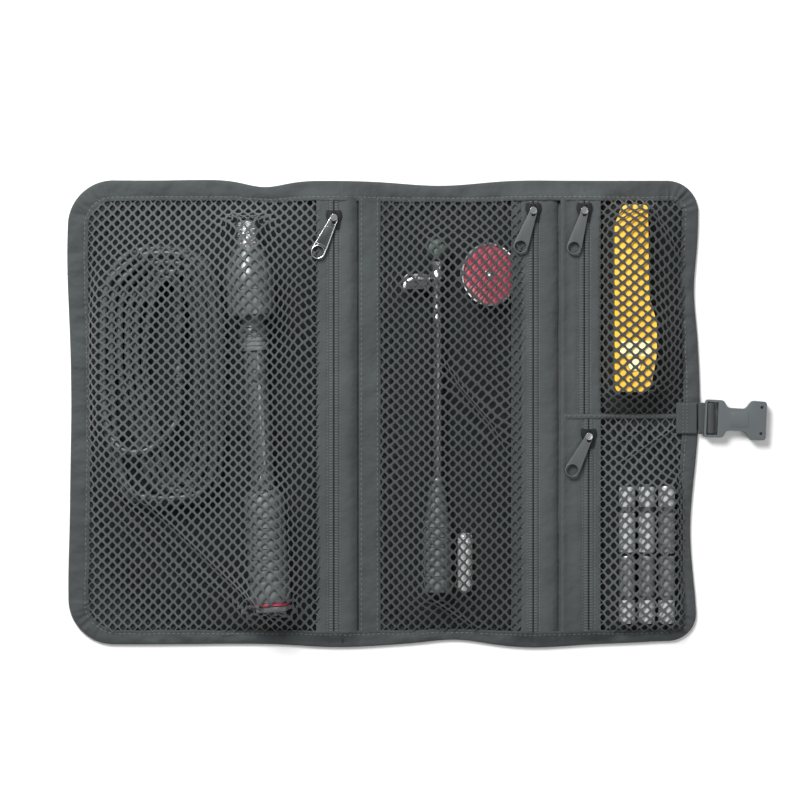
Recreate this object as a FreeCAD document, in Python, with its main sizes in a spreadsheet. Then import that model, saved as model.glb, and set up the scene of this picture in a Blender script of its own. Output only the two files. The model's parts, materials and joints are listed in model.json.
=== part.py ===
import FreeCAD, Part
import os
import re
import Sketcher

# A zipped mesh organiser that opens like a book and holds a small set of line-tracing tools.
# Millimetres. It lies open on its back: +X towards the buckle, +Y towards the top edge, +Z up.
# The origin is the middle of the open organiser's footprint, on the surface it lies on.

DOC = FreeCAD.newDocument("ToolOrganiser")
SHEET = DOC.addObject("Spreadsheet::Sheet", "Dims")
NODES = {}

CELLS = {
    # the open outline and its two creases
    "edge_left": -222.5,
    "edge_right": 179.4,
    "edge_low": -148,
    "edge_top": 148,
    "round_left": 28,
    "round_right": 20,
    "crease_left": -70.4,
    "crease_right": -25.4,
    "crease_gap": 0.3,
    # cloth layers
    "cover_thick": 1.6,
    "binding_wide": 13,
    "binding_right_wide": 10,
    "binding_low_wide": 8.8,
    "binding_wall": 1.2,
    "binding_thick": 2.6,
    "strip_thick": 1,
    "mesh_thick": 0.8,
    "pocket_wall": 1.2,
    "seam_clear": 0.3,
    "strip_left_edge": -38.6,
    "seam_left_edge": 90.3,
    "seam_right_edge": 91.7,
    "divider_low": -4,
    "divider_top": -1.2,
    # mesh pockets
    "mesh_left_edge": -209.4,
    "mesh_left_end": -72.4,
    "mesh_low": -139,
    "mesh_top": 134.6,
    "mesh_middle_end": 66.7,
    "mesh_right_edge": 116.8,
    "mesh_right_end": 169.2,
    "coil_tent_end": -108,
    "coil_tent_slope": 4,
    "coil_tent_top": 21.5,
    "probe_tent_start": -130,
    "probe_tent_slope": 5,
    "probe_tent_end": -75,
    "probe_tent_top": 34.6,
    "middle_tent_end": 62.5,
    "middle_tent_top": 21,
    "middle_tent_slope": 7,
    "lens_tent_room": 20.6,
    "lens_tent_wall": 0.8,
    "lens_tent_over": 2,
    "middle_tent_gap": 3,
    "wand_tent_low": 10.2,
    "wand_tent_start": 122.5,
    "wand_tent_top": 21,
    "wand_tent_slope": 1.2,
    "cell_tent_start": 125.2,
    "cell_tent_high": -36,
    "cell_tent_top": 14.6,
    "cell_tent_slope": 1.8,
    # the channel under the left half that takes the closing strap
    "channel_left": -205.5,
    "channel_right": -83,
    "channel_half": 17.2,
    "channel_top": 8,
    "channel_wall": 1.4,
    # zips
    "zip_left_start": -63.8,
    "zip_left_chain": -53.6,
    "zip_left_end": -38.9,
    "zip_middle_start": 67,
    "zip_middle_chain": 73.6,
    "zip_middle_end": 90,
    "zip_right_start": 92,
    "zip_upper_chain": 106.2,
    "zip_lower_chain": 109,
    "zip_right_end": 116.4,
    "slider_left_y": 122.9,
    "slider_top_y": 127.4,
    "slider_lower_y": -16.6,
    "hem_wide": 3,
    "hem_middle": 0.9,
    "hem_outer": 1.5,
    "tape_low": 7.1,
    "tape_top": 7.5,
    "chain_half": 0.7,
    "coil_half": 2.9,
    "coil_low": 5.6,
    "slider_half_wide": 5.2,
    "slider_half_long": 6.4,
    "slider_round": 2.2,
    "shoe_low": 4.5,
    "shoe_top": 5.3,
    "flange_wide": 1,
    "flange_top": 6.8,
    "web_half": 0.4,
    "web_back": 3,
    "plate_low": 7.8,
    "plate_top": 8.6,
    "crown_half_wide": 1.2,
    "crown_half_long": 2.6,
    "crown_top": 11.4,
    "tunnel_half_long": 1.8,
    "tunnel_low": 8.8,
    "tunnel_top": 10.8,
    "pivot_height": 9.8,
    "pull_thick": 1.4,
    "pull_bar": 0.7,
    "eye_half": 2.6,
    "eye_outer": 3.9,
    "eye_long": 4.8,
    "pull_half": 4.8,
    "pull_shoulder": 9,
    "pull_hole_at": 23.2,
    "pull_hole": 3.6,
    "pull_end": 27.9,
    # buckle and straps
    "strap_middle": -4,
    "web_wide": 20,
    "web_thick": 1.6,
    "web_low": 2.7,
    "strap_fold": 178.8,
    "strap_gap": 0.6,
    "anchor_start": 165,
    "bar_at": 187,
    "bar_height": 3.6,
    "bar_round": 1.5,
    "loop_inner": 1.9,
    "loop_outer": 3.2,
    "socket_low": 0.4,
    "socket_top": 6.8,
    "socket_start": 183,
    "socket_slot_end": 193.4,
    "socket_base_end": 196.6,
    "socket_base_half": 12.2,
    "socket_arm": 1.5,
    "socket_waist_half": 7.4,
    "socket_flare_start": 213.3,
    "socket_flare_half": 13,
    "socket_end": 222.5,
    "socket_wall": 0.9,
    "mouth_start": 200,
    "tail_fold": -90.4,
    "tail_gap": 0.2,
    "lug_long": 0.1,
    "tail_low": 1.9,
    "tail_end": -179,
    "plug_base_end": -188,
    "plug_end": -203.4,
    "plug_low": 0.3,
    "plug_top": 5.3,
    "plug_half": 12,
    "prong_half": 1.6,
    "prong_inset": 0.8,
    # the hank of lead and its two plugs
    "hank_left": -203.5,
    "hank_right": -122.5,
    "hank_foot": -60,
    "hank_head": 107,
    "hank_band": 19,
    "bundle_head": 50,
    "bundle_head_left": -187,
    "bundle_head_right": -170,
    "bundle_foot": -46,
    "bundle_foot_left": -164,
    "bundle_foot_right": -147,
    "lead_plug_x": -152,
    "lead_plug_far": 42,
    "lead_plug_near": 5,
    "hank_low": 8.3,
    "hank_top": 19.6,
    "lead_plug_round": 4.3,
    "lead_plug_long": 34,
    # the probe: distances run back from its tip along its own axis
    "probe_tip_x": -109.3,
    "probe_tip_y": 121.6,
    "probe_height": 17.4,
    "probe_turn": 3.73,
    "nose_round": 6.6,
    "nose_shoulder": 14,
    "nose_long": 18,
    "tip_round": 8,
    "head_front": 12,
    "head_round": 15.4,
    "head_shoulder": 34,
    "head_end": 61,
    "head_socket": 52,
    "spigot_round": 6.2,
    "turn_clear": 0.3,
    "collar_neck": 8,
    "collar_start": 68.6,
    "collar_round": 9.6,
    "collar_end": 83.3,
    "barrel_round": 7.4,
    "barrel_bore": 6,
    "barrel_end": 172,
    "grip_round": 13,
    "grip_bore": 11.4,
    "grip_end": 243.6,
    "ring_round": 12.6,
    "ring_bore": 8.6,
    "ring_end": 245.6,
    "cap_round": 11.6,
    "cap_end": 249.5,
    "cap_bevel": 2,
    "button_at": 100,
    "button_round": 3,
    "button_depth": 3.4,
    "button_top": 8.6,
    "board_half": 4.6,
    "board_thick": 1.6,
    # the arm tool in the middle pocket
    "rod_x": 12.3,
    "rod_height": 10.6,
    "rod_knob_y": 103.7,
    "rod_knob_round": 7.3,
    "rod_top": 84,
    "rod_round": 3.8,
    "rod_taper": -42,
    "rod_taper_end": -69,
    "rod_taper_round": 8,
    "rod_grip_round": 8.6,
    "rod_grip_end": -115,
    "rod_grip_bevel": 2,
    "knuckle_round": 5.4,
    "knuckle_neck": 4.4,
    "knuckle_gap": 0.2,
    "hook_start": 5.6,
    "hook_up": 4,
    "hook_wide": 7,
    "hook_thick": 4,
    "hook_long": 19,
    "hook_turn": 24,
    # the tilted lens
    "lens_x": 45.4,
    "lens_y": 87.7,
    "lens_height": 12.2,
    "lens_round": 19,
    "lens_rim": 20.3,
    "lens_thick": 3.2,
    "lens_tilt": 25,
    # the small capsule
    "capsule_x": 30,
    "capsule_top": -77,
    "capsule_joint": -84,
    "capsule_low": -115,
    "capsule_round": 4.8,
    "capsule_bevel": 1,
    "cap_inset": 0.3,
    "rest_gap": 0.2,
    # the wand
    "wand_left": 125,
    "wand_right": 151.8,
    "wand_low": 13,
    "wand_top": 132,
    "wand_slant_x": 130.4,
    "wand_slant_y": 119,
    "wand_neck_x": 146.4,
    "wand_neck_y": 72.5,
    "wand_belly_top": 57,
    "wand_belly_low": 36.8,
    "wand_foot_x": 146.3,
    "wand_floor": 1.8,
    "wand_joint": 10,
    "wand_front": 18.6,
    "wand_wall": 1.6,
    "wand_button_x": 137.6,
    "wand_button_y": 30,
    "wand_button_round": 4,
    "wand_button_top": 19.6,
    "wand_key_depth": 4,
    "wand_board_low": 6,
    "wand_board_gap": 3,
    # the six cells
    "cell_first_x": 133.5,
    "cell_pitch": 12.6,
    "cell_round": 5,
    "cell_sleeve": 5.25,
    "cell_long": 43.4,
    "cell_sleeve_long": 41.6,
    "cell_nub": 1.9,
    "cell_nub_long": 1,
    "cell_row_low": -134.9,
    "cell_row_pitch": 44.6,
}


def fill_sheet():
    """Writes every driving dimension into the sheet, with its alias."""
    for row, (alias, value) in enumerate(CELLS.items(), start=1):
        SHEET.set(f"A{row}", alias)
        SHEET.set(f"B{row}", str(value))
        SHEET.setAlias(f"B{row}", alias)
    DOC.recompute()


def cells(text):
    """An expression on the sheet, from a sum written with bare aliases."""
    return re.sub(r"[a-z][a-z_]+", r"Dims.\g<0>", str(text))


def size(text):
    """The number that such a sum has now."""
    return float(SHEET.evalExpression(cells(text)))


def about(axis, degrees):
    return FreeCAD.Rotation(FreeCAD.Vector(*axis), degrees)


def put(piece, x, y, z, turn=FreeCAD.Rotation()):
    """Places a piece at three sums, with an optional turn."""
    piece.Placement = FreeCAD.Placement(FreeCAD.Vector(size(x), size(y), size(z)), turn)
    for letter, text in zip("xyz", (x, y, z)):
        piece.setExpression(f".Placement.Base.{letter}", cells(text))
    return piece


def bind(piece, **sums):
    for name, text in sums.items():
        piece.setExpression(name, cells(text))
    return piece


def box(name, x, y, z):
    """A block between three pairs of planes."""
    piece = DOC.addObject("Part::Box", name)
    bind(
        piece,
        Length=f"({x[1]}) - ({x[0]})",
        Width=f"({y[1]}) - ({y[0]})",
        Height=f"({z[1]}) - ({z[0]})",
    )
    return put(piece, x[0], y[0], z[0])


def cylinder(name, round_by, long_by, at, turn=FreeCAD.Rotation()):
    piece = DOC.addObject("Part::Cylinder", name)
    bind(piece, Radius=round_by, Height=long_by)
    return put(piece, *at, turn)


ALONG_Y = about((1, 0, 0), -90)
ALONG_X = about((0, 1, 0), 90)


def tent(name, x, y, z, slope):
    """A block whose four sides lean in by slope towards its top."""
    piece = DOC.addObject("Part::Wedge", name)
    bind(
        piece,
        Xmin=x[0],
        Xmax=x[1],
        X2min=f"{x[0]} + ({slope})",
        X2max=f"{x[1]} - ({slope})",
        Ymin=z[0],
        Ymax=z[1],
        Zmin=f"-({y[1]})",
        Zmax=f"-({y[0]})",
        Z2min=f"-({y[1]}) + ({slope})",
        Z2max=f"-({y[0]}) - ({slope})",
    )
    piece.Placement = FreeCAD.Placement(FreeCAD.Vector(), about((1, 0, 0), 90))
    return piece


def fuse(name, pieces):
    if len(pieces) == 1:
        return pieces[0]
    whole = DOC.addObject("Part::MultiFuse", name)
    whole.Shapes = pieces
    return whole


def common(name, base, tool):
    shared = DOC.addObject("Part::Common", name)
    shared.Base = base
    shared.Tool = tool
    return shared


def cut(name, base, tool):
    left = DOC.addObject("Part::Cut", name)
    left.Base = base
    left.Tool = tool
    return left


def group(name, pieces):
    """Separate solids that share one node."""
    whole = DOC.addObject("Part::Compound", name)
    whole.Links = pieces
    return whole


def node(label, piece):
    piece.Label = label
    NODES[label] = piece
    return piece


def origin_plane(body, role):
    return next(o for o in body.Origin.OriginFeatures if o.Role == role)


def sketch_of(body, name, points):
    """A closed outline on the body's XY plane, each corner held by sums for its x and y."""
    sketch = body.newObject("Sketcher::SketchObject", name)
    sketch.AttachmentSupport = (origin_plane(body, "XY_Plane"), [""])
    sketch.MapMode = "FlatFace"
    at = [FreeCAD.Vector(size(x), size(y), 0) for x, y in points]
    for here, there in zip(at, at[1:] + at[:1]):
        sketch.addGeometry(Part.LineSegment(here, there), False)
    for edge in range(len(at)):
        sketch.addConstraint(
            Sketcher.Constraint("Coincident", edge, 2, (edge + 1) % len(at), 1)
        )
    for edge, (here, sums) in enumerate(zip(at, points)):
        hold_corner(sketch, edge, here, sums)
    return sketch


def hold_corner(sketch, edge, here, sums):
    for kind, value, text, axis in (
        ("DistanceX", here.x, sums[0], -2),
        ("DistanceY", here.y, sums[1], -1),
    ):
        if value == 0:
            sketch.addConstraint(Sketcher.Constraint("PointOnObject", edge, 1, axis))
            continue
        index = sketch.addConstraint(Sketcher.Constraint(kind, -1, 1, edge, 1, value))
        sketch.renameConstraint(index, f"{kind}_{edge}")
        sketch.setExpression(f"Constraints.{kind}_{edge}", cells(text))


def slab(name, points, low, top, rounds=()):
    """An upright slab on a closed outline; rounds lists (corner x, corner y, radius) sums."""
    body = DOC.addObject("PartDesign::Body", name)
    sketch = sketch_of(body, f"{name}Outline", points)
    pad = body.newObject("PartDesign::Pad", f"{name}Pad")
    pad.Profile = sketch
    bind(pad, Length=f"({top}) - ({low})")
    body.Tip = pad
    DOC.recompute()
    for number, (corner, radius) in enumerate(rounds):
        round_corner(body, f"{name}Round{number}", corner, radius)
    return put(body, "0", "0", low)


def round_corner(body, name, corner, radius):
    """Rounds the upright edge that stands on one corner of the outline."""
    base = body.Tip
    x, y = size(corner[0]), size(corner[1])
    edges = [
        f"Edge{number}"
        for number, edge in enumerate(base.Shape.Edges, start=1)
        if all(abs(p.Point.x - x) + abs(p.Point.y - y) < 1e-4 for p in edge.Vertexes)
    ]
    fillet = body.newObject("PartDesign::Fillet", name)
    fillet.Base = (base, edges)
    bind(fillet, Radius=radius)
    body.Tip = fillet
    DOC.recompute()


def rectangle(x, y):
    return [(x[0], y[0]), (x[1], y[0]), (x[1], y[1]), (x[0], y[1])]


def panel(name, x, y, z, radius, rounded):
    """A flat panel with its left, right or all corners rounded."""
    corners = rectangle(x, y)
    picked = {"left": (0, 3), "right": (1, 2), "all": (0, 1, 2, 3)}[rounded]
    rounds = [(corners[number], radius) for number in picked]
    return slab(name, corners, z[0], z[1], rounds)


def turned(name, points):
    """A turned piece: its half section is revolved about its own Y axis."""
    body = DOC.addObject("PartDesign::Body", name)
    sketch = sketch_of(body, f"{name}Section", points)
    spin = body.newObject("PartDesign::Revolution", f"{name}Turn")
    spin.Profile = sketch
    spin.ReferenceAxis = (sketch, ["V_Axis"])
    spin.Angle = 360
    body.Tip = spin
    return body


# ---- the cloth book -------------------------------------------------------------------------

LOW = "edge_low"
TOP = "edge_top"
COVER = ("0", "cover_thick")
HIGH = "60"
FAR = "200"
PAST = "6"
# a turned section starts this far from its own origin, where a corner can still be held by a sum
START = "0.001"
BOUND = (f"{LOW} + binding_low_wide", f"{TOP} - binding_wide")


def inset(limits, by):
    return (f"{limits[0]} + {by}", f"{limits[1]} - {by}")


def end_half(side, x, radius):
    """The cover and the binding of one outer half; the crease side stays open."""
    outer_left = side == "left"
    wall = "binding_wall"
    wide = "binding_wide" if outer_left else "binding_right_wide"
    if outer_left:
        inner = (f"{x[0]} + {wall}", x[1])
        under = (inner[0], f"{x[1]} + {PAST}")
        window = (f"{x[0]} + {wide}", under[1])
    else:
        inner = (x[0], f"{x[1]} - {wall}")
        under = (f"{x[0]} - {PAST}", inner[1])
        window = (under[0], f"{x[1]} - {wide}")
    cover = panel(f"Cover{side}", inner, inset((LOW, TOP), wall), COVER, f"{radius} - {wall}", side)
    rim = panel(f"Rim{side}", x, (LOW, TOP), ("0", "binding_thick"), radius, side)
    hollow = panel(
        f"RimUnder{side}", under, inset((LOW, TOP), wall), ("-1", "cover_thick"), f"{radius} - {wall}", side
    )
    opening = panel(
        f"RimWindow{side}",
        window,
        BOUND,
        ("cover_thick", "binding_thick + 1"),
        f"{radius} - {wide}",
        side,
    )
    binding = cut(f"Binding{side}", rim, fuse(f"RimVoid{side}", [hollow, opening]))
    node(f"binding_{side}", binding)
    return cover


def left_cover():
    """The left cover carries a raised channel underneath for the closing strap."""
    cover = end_half("left", ("edge_left", "crease_left - crease_gap"), "round_left")
    half = ("-channel_half", "channel_half")
    shell = box("ChannelShell", ("channel_left", "channel_right"), half, ("0", "channel_top"))
    hollow = box(
        "ChannelHollow",
        inset(("channel_left", "channel_right"), "channel_wall"),
        inset(half, "channel_wall"),
        ("-1", "channel_top - channel_wall"),
    )
    node("cover_left", cut("CoverLeft", fuse("CoverLeftFull", [cover, shell]), hollow))


def spine():
    x = ("crease_left + crease_gap", "crease_right - crease_gap")
    wall = "binding_wall"
    node("cover_spine", box("CoverSpine", x, inset((LOW, TOP), wall), COVER))
    rim = box("SpineRim", x, (LOW, TOP), ("0", "binding_thick"))
    across = ("crease_left", "crease_right")
    hollow = box("SpineUnder", across, inset((LOW, TOP), wall), ("-1", "cover_thick"))
    opening = box("SpineWindow", across, BOUND, ("1", "binding_thick + 1"))
    node("binding_spine", cut("BindingSpine", rim, fuse("SpineVoid", [hollow, opening])))
    strip = box(
        "SeamStripLeft",
        ("strip_left_edge", "crease_right - crease_gap"),
        ("mesh_low", "mesh_top"),
        ("cover_thick", "cover_thick + strip_thick"),
    )
    node("seam_strip_left", strip)


def right_half():
    cover = end_half("right", ("crease_right + crease_gap", "edge_right"), "round_right")
    node("cover_right", cover)
    upright = box(
        "SeamUpright",
        ("seam_left_edge", "seam_right_edge"),
        ("mesh_low", "mesh_top"),
        ("cover_thick", "tape_top + strip_thick"),
    )
    node("seam_strip_right", upright)
    divider = box(
        "Divider",
        ("mesh_right_edge", "mesh_right_end"),
        ("divider_low", "divider_top"),
        ("cover_thick", "cover_thick + strip_thick"),
    )
    node("pocket_divider", divider)


# ---- mesh pockets ---------------------------------------------------------------------------


def mesh_pocket(label, x, y, tents, extra=None, rounded=None):
    """A sheet of net with raised tents where the contents push it up, kept inside the binding."""
    floor = ("cover_thick", "cover_thick + mesh_thick")
    whole = [box(f"{label}Sheet", x, y, floor)]
    hollows = []
    if extra:
        whole.append(extra[0])
        hollows.append(extra[1])
    for number, (across, along, top, slope) in enumerate(tents):
        whole.append(tent(f"{label}Tent{number}", across, along, ("cover_thick", top), slope))
        hollows.append(
            tent(
                f"{label}Hollow{number}",
                inset(across, "pocket_wall"),
                inset(along, "pocket_wall"),
                ("cover_thick - 1", f"{top} - pocket_wall"),
                slope,
            )
        )
    full = fuse(f"{label}Full", whole)
    if rounded:
        side, radius = rounded
        bounds = panel(f"{label}Bounds", x, y, ("cover_thick", HIGH), radius, side)
        full = common(f"{label}Inside", full, bounds)
    node(label, cut(f"{label}Net", full, fuse(f"{label}Room", hollows)))


def lens_tent():
    """The net drawn over the leaning lens: a leaning box about it, cut off at the cover."""
    turn = about((0, 1, 0), size("lens_tilt"))
    down = turn.multVec(FreeCAD.Vector(0, 0, -1))
    x = f"lens_x + {down.x:.6f} * lens_tent_room"
    z = f"lens_height + {down.z:.6f} * lens_tent_room"
    pair = []
    for name, half, over in (
        ("LensTent", "lens_tent_room + lens_tent_wall", "lens_tent_over + lens_tent_wall"),
        ("LensRoom", "lens_tent_room", "lens_tent_over"),
    ):
        square = rectangle((f"-({half})", half), (f"-({half})", half))
        pair.append(put(slab(name, square, "0", f"{over} + lens_tent_room"), x, "lens_y", z, turn))
    above = box("LensAbove", (f"-{FAR}", FAR), (f"-{FAR}", FAR), ("cover_thick", HIGH))
    return [common("LensTentAbove", pair[0], above), pair[1]]


def mesh_pockets():
    full = ("mesh_low", "mesh_top")
    right = ("mesh_right_edge", "mesh_right_end")
    wand_room = ("wand_tent_start", right[1]), ("wand_tent_low", "mesh_top")
    cell_room = ("cell_tent_start", right[1]), ("mesh_low", "cell_tent_high")
    mesh_pocket(
        "mesh_pocket_left",
        ("mesh_left_edge", "mesh_left_end"),
        full,
        [
            (("mesh_left_edge", "coil_tent_end"), full, "coil_tent_top", "coil_tent_slope"),
            (("probe_tent_start", "probe_tent_end"), full, "probe_tent_top", "probe_tent_slope"),
        ],
        rounded=("left", "round_left - binding_wide"),
    )
    mesh_pocket(
        "mesh_pocket_middle",
        ("crease_right + crease_gap + seam_clear", "mesh_middle_end"),
        full,
        [(("crease_right + middle_tent_gap", "middle_tent_end"), full, "middle_tent_top", "middle_tent_slope")],
        lens_tent(),
    )
    mesh_pocket(
        "mesh_pocket_upper",
        right,
        ("divider_top + seam_clear", "mesh_top"),
        [(*wand_room, "wand_tent_top", "wand_tent_slope")],
        rounded=("right", "round_right - binding_right_wide"),
    )
    mesh_pocket(
        "mesh_pocket_lower",
        right,
        ("mesh_low", "divider_low - seam_clear"),
        [(*cell_room, "cell_tent_top", "cell_tent_slope")],
        rounded=("right", "round_right - binding_right_wide"),
    )


# ---- zips -----------------------------------------------------------------------------------


def zip_tape(label, chain, x, hems, y):
    """Both halves of the tape, each with the folded hem it is sewn down by."""
    halves = []
    for side, tape, hem in (
        ("Left", (x[0], f"{chain} - chain_half"), (x[0], f"{x[0]} + {hems[0]}")),
        ("Right", (f"{chain} + chain_half", x[1]), (f"{x[1]} - {hems[1]}", x[1])),
    ):
        flat = box(f"{label}{side}", tape, y, ("tape_low", "tape_top"))
        fold = box(f"{label}{side}Hem", hem, y, ("cover_thick", "tape_low"))
        halves.append(fuse(f"{label}{side}Half", [flat, fold]))
    node(label, group(f"{label}Pair", halves))


def zip_coil(label, chain, y):
    z = ("coil_low", "tape_low")
    halves = [
        box(f"{label}Left", (f"{chain} - coil_half", f"{chain} - chain_half"), y, z),
        box(f"{label}Right", (f"{chain} + chain_half", f"{chain} + coil_half"), y, z),
    ]
    node(label, group(f"{label}Pair", halves))


def zip_slider(label, chain, y):
    """Two plates joined by a web between the coils, with a tunnelled crown for the pull."""
    half, long_half = "slider_half_wide", "slider_half_long"
    x = (f"{chain} - {half}", f"{chain} + {half}")
    along = (f"{y} - {long_half}", f"{y} + {long_half}")
    shoe = panel(f"{label}Shoe", x, along, ("shoe_low", "shoe_top"), "slider_round", "all")
    plate = panel(f"{label}Plate", x, along, ("plate_low", "plate_top"), "slider_round", "all")
    straight = inset(along, "slider_round")
    parts = [
        shoe,
        plate,
        box(f"{label}LeftLip", (x[0], f"{x[0]} + flange_wide"), straight, ("shoe_top", "flange_top")),
        box(f"{label}RightLip", (f"{x[1]} - flange_wide", x[1]), straight, ("shoe_top", "flange_top")),
        box(
            f"{label}Web",
            (f"{chain} - web_half", f"{chain} + web_half"),
            (f"{y} + web_back", f"{y} + {long_half}"),
            ("shoe_top", "plate_low"),
        ),
        box(
            f"{label}Crown",
            (f"{chain} - crown_half_wide", f"{chain} + crown_half_wide"),
            (f"{y} - crown_half_long", f"{y} + crown_half_long"),
            ("plate_top", "crown_top"),
        ),
    ]
    tunnel = box(
        f"{label}Tunnel",
        (f"{chain} - {half}", f"{chain} + {half}"),
        (f"{y} - tunnel_half_long", f"{y} + tunnel_half_long"),
        ("tunnel_low", "tunnel_top"),
    )
    node(label, cut(f"{label}Body", fuse(f"{label}Full", parts), tunnel))


def zip_pull(label, chain, y, skew):
    """A tab with a round hole, hung on a bar through the crown and swung aside by skew."""
    outline = [
        ("-eye_outer", "0"),
        ("-eye_outer", "-eye_long - pull_bar"),
        ("-pull_half", "-pull_shoulder"),
        ("-pull_half", "-pull_end"),
        ("pull_half", "-pull_end"),
        ("pull_half", "-pull_shoulder"),
        ("eye_outer", "-eye_long - pull_bar"),
        ("eye_outer", "0"),
    ]
    rounds = [(outline[3], "pull_half - 0.2"), (outline[4], "pull_half - 0.2")]
    tab = slab(f"{label}Tab", outline, "0", "pull_thick", rounds)
    put(tab, "0", "0", "-pull_thick / 2")
    eye = box(f"{label}Eye", ("-eye_half", "eye_half"), ("-eye_long", "1"), ("-pull_thick", "pull_thick"))
    hole = cylinder(f"{label}Hole", "pull_hole", "2 * pull_thick", ("0", "-pull_hole_at", "-pull_thick"))
    bar = cylinder(f"{label}Bar", "pull_bar", "2 * eye_outer", ("-eye_outer", "0", "0"), ALONG_X)
    open_tab = cut(f"{label}Open", tab, fuse(f"{label}Voids", [eye, hole]))
    pull = fuse(f"{label}Pull", [open_tab, bar])
    node(label, put(pull, chain, y, "pivot_height", about((0, 0, 1), -skew)))


ZIPS = {
    # name: chain, tape edges, hem widths, tape ends, slider start, swing of the pull in degrees
    "left": (
        "zip_left_chain", ("zip_left_start", "zip_left_end"), ("hem_wide", "hem_wide"),
        ("mesh_low", "mesh_top"), "slider_left_y", 25.9,
    ),
    "middle": (
        "zip_middle_chain", ("zip_middle_start", "zip_middle_end"), ("hem_middle", "hem_wide"),
        ("mesh_low", "mesh_top"), "slider_top_y", 20.6,
    ),
    "upper": (
        "zip_upper_chain", ("zip_right_start", "zip_right_end"), ("hem_wide", "hem_outer"),
        ("divider_top", "mesh_top"), "slider_top_y", 16.7,
    ),
    "lower": (
        "zip_lower_chain", ("zip_right_start", "zip_right_end"), ("hem_wide", "hem_outer"),
        ("mesh_low", "divider_low"), "slider_lower_y", 27.3,
    ),
}


def zips():
    for name, (chain, x, hems, y, start, skew) in ZIPS.items():
        zip_tape(f"zip_tape_{name}", chain, x, hems, y)
        zip_coil(f"zip_coil_{name}", chain, y)
        zip_slider(f"zip_slider_{name}", chain, start)
        zip_pull(f"zip_pull_{name}", chain, start, skew)


# ---- straps and buckle ----------------------------------------------------------------------


def across(half):
    return (f"strap_middle - {half}", f"strap_middle + {half}")


def buckle_strap():
    """Webbing sewn to the right edge, folded round the buckle's bar."""
    web = ("web_low", "web_low + web_thick")
    wide = across("web_wide / 2")
    anchor = box("StrapAnchor", ("anchor_start", "strap_fold - strap_gap"), wide, web)
    node("buckle_anchor", anchor)
    flat = box("StrapFlat", ("strap_fold + strap_gap", "bar_at - loop_inner"), wide, web)
    where = ("bar_at", "strap_middle - web_wide / 2", "bar_height")
    loop = cylinder("StrapLoop", "loop_outer", "web_wide", where, ALONG_Y)
    start = (where[0], f"{where[1]} - 1", where[2])
    eye = cylinder("StrapEye", "loop_inner", "web_wide + 2", start, ALONG_Y)
    node("buckle_strap", cut("BuckleStrap", fuse("StrapFull", [flat, loop]), eye))


def buckle_socket():
    """The female half: a slotted base, a narrow waist and a flared mouth."""
    z = ("socket_low", "socket_top")
    base = box("SocketBase", ("socket_start", "socket_base_end"), across("socket_base_half"), z)
    slot = box(
        "SocketSlot",
        ("socket_start - 1", "socket_slot_end"),
        across("(socket_base_half - socket_arm)"),
        ("-1", "socket_top + 1"),
    )
    waist = box("SocketWaist", ("socket_base_end", "socket_flare_start"), across("socket_waist_half"), z)
    flare = box("SocketFlare", ("socket_flare_start", "socket_end"), across("socket_flare_half"), z)
    room = ("socket_low + socket_wall", "socket_top - socket_wall")
    throat = box(
        "SocketThroat", ("mouth_start", "socket_end + 1"), across("(socket_waist_half - socket_wall)"), room
    )
    mouth = box(
        "SocketMouth",
        ("socket_flare_start", "socket_end + 1"),
        across("(socket_flare_half - socket_wall)"),
        room,
    )
    bar = cylinder(
        "SocketBar",
        "bar_round",
        "2 * socket_base_half",
        ("bar_at", "strap_middle - socket_base_half", "bar_height"),
        ALONG_Y,
    )
    full = fuse("SocketFull", [base, waist, flare])
    shell = cut("SocketShell", full, fuse("SocketVoid", [slot, throat, mouth]))
    node("buckle_socket", fuse("SocketWhole", [shell, bar]))


def tail():
    """The strap with the male half, folded flat into the channel behind the left cover."""
    half = ("-web_wide / 2", "web_wide / 2")
    block = box(
        "TailAnchor",
        ("tail_fold + tail_gap", "channel_right - channel_wall"),
        half,
        ("tail_low", "channel_top - channel_wall"),
    )
    node("tail_anchor", block)
    strap = box("TailStrap", ("tail_end", "tail_fold - tail_gap"), half, ("tail_low", "tail_low + web_thick"))
    node("tail_strap", strap)
    z = ("plug_low", "plug_top")
    base = box("PlugBase", ("plug_base_end", "tail_end - lug_long"), ("-plug_half", "plug_half"), z)
    prongs = [base]
    rows = {"Low": "-plug_half + prong_half", "Middle": "0", "High": "plug_half - prong_half"}
    for name, middle in rows.items():
        y = (f"{middle} - prong_half", f"{middle} + prong_half")
        prongs.append(box(f"Prong{name}", ("plug_end", "plug_base_end"), y, inset(z, "prong_inset")))
    lug = box("PlugLug", ("tail_end - lug_long", "tail_end"), half, ("tail_low", "tail_low + web_thick"))
    node("male_buckle", fuse("MaleBuckle", prongs + [lug]))


# ---- what the pockets hold ------------------------------------------------------------------


def long_ring(name, x, y, band, z):
    """A flat oval ring: two straight sides joined by half circles."""
    half = f"({x[1]} - ({x[0]})) / 2 - 0.1"
    inner_x, inner_y = inset(x, band), inset(y, band)
    outer = panel(f"{name}Outer", x, y, z, half, "all")
    hollow = panel(
        f"{name}Inner", inner_x, inner_y, (f"{z[0]} - 1", f"{z[1]} + 1"), f"{half} - {band}", "all"
    )
    return cut(name, outer, hollow)


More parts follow.
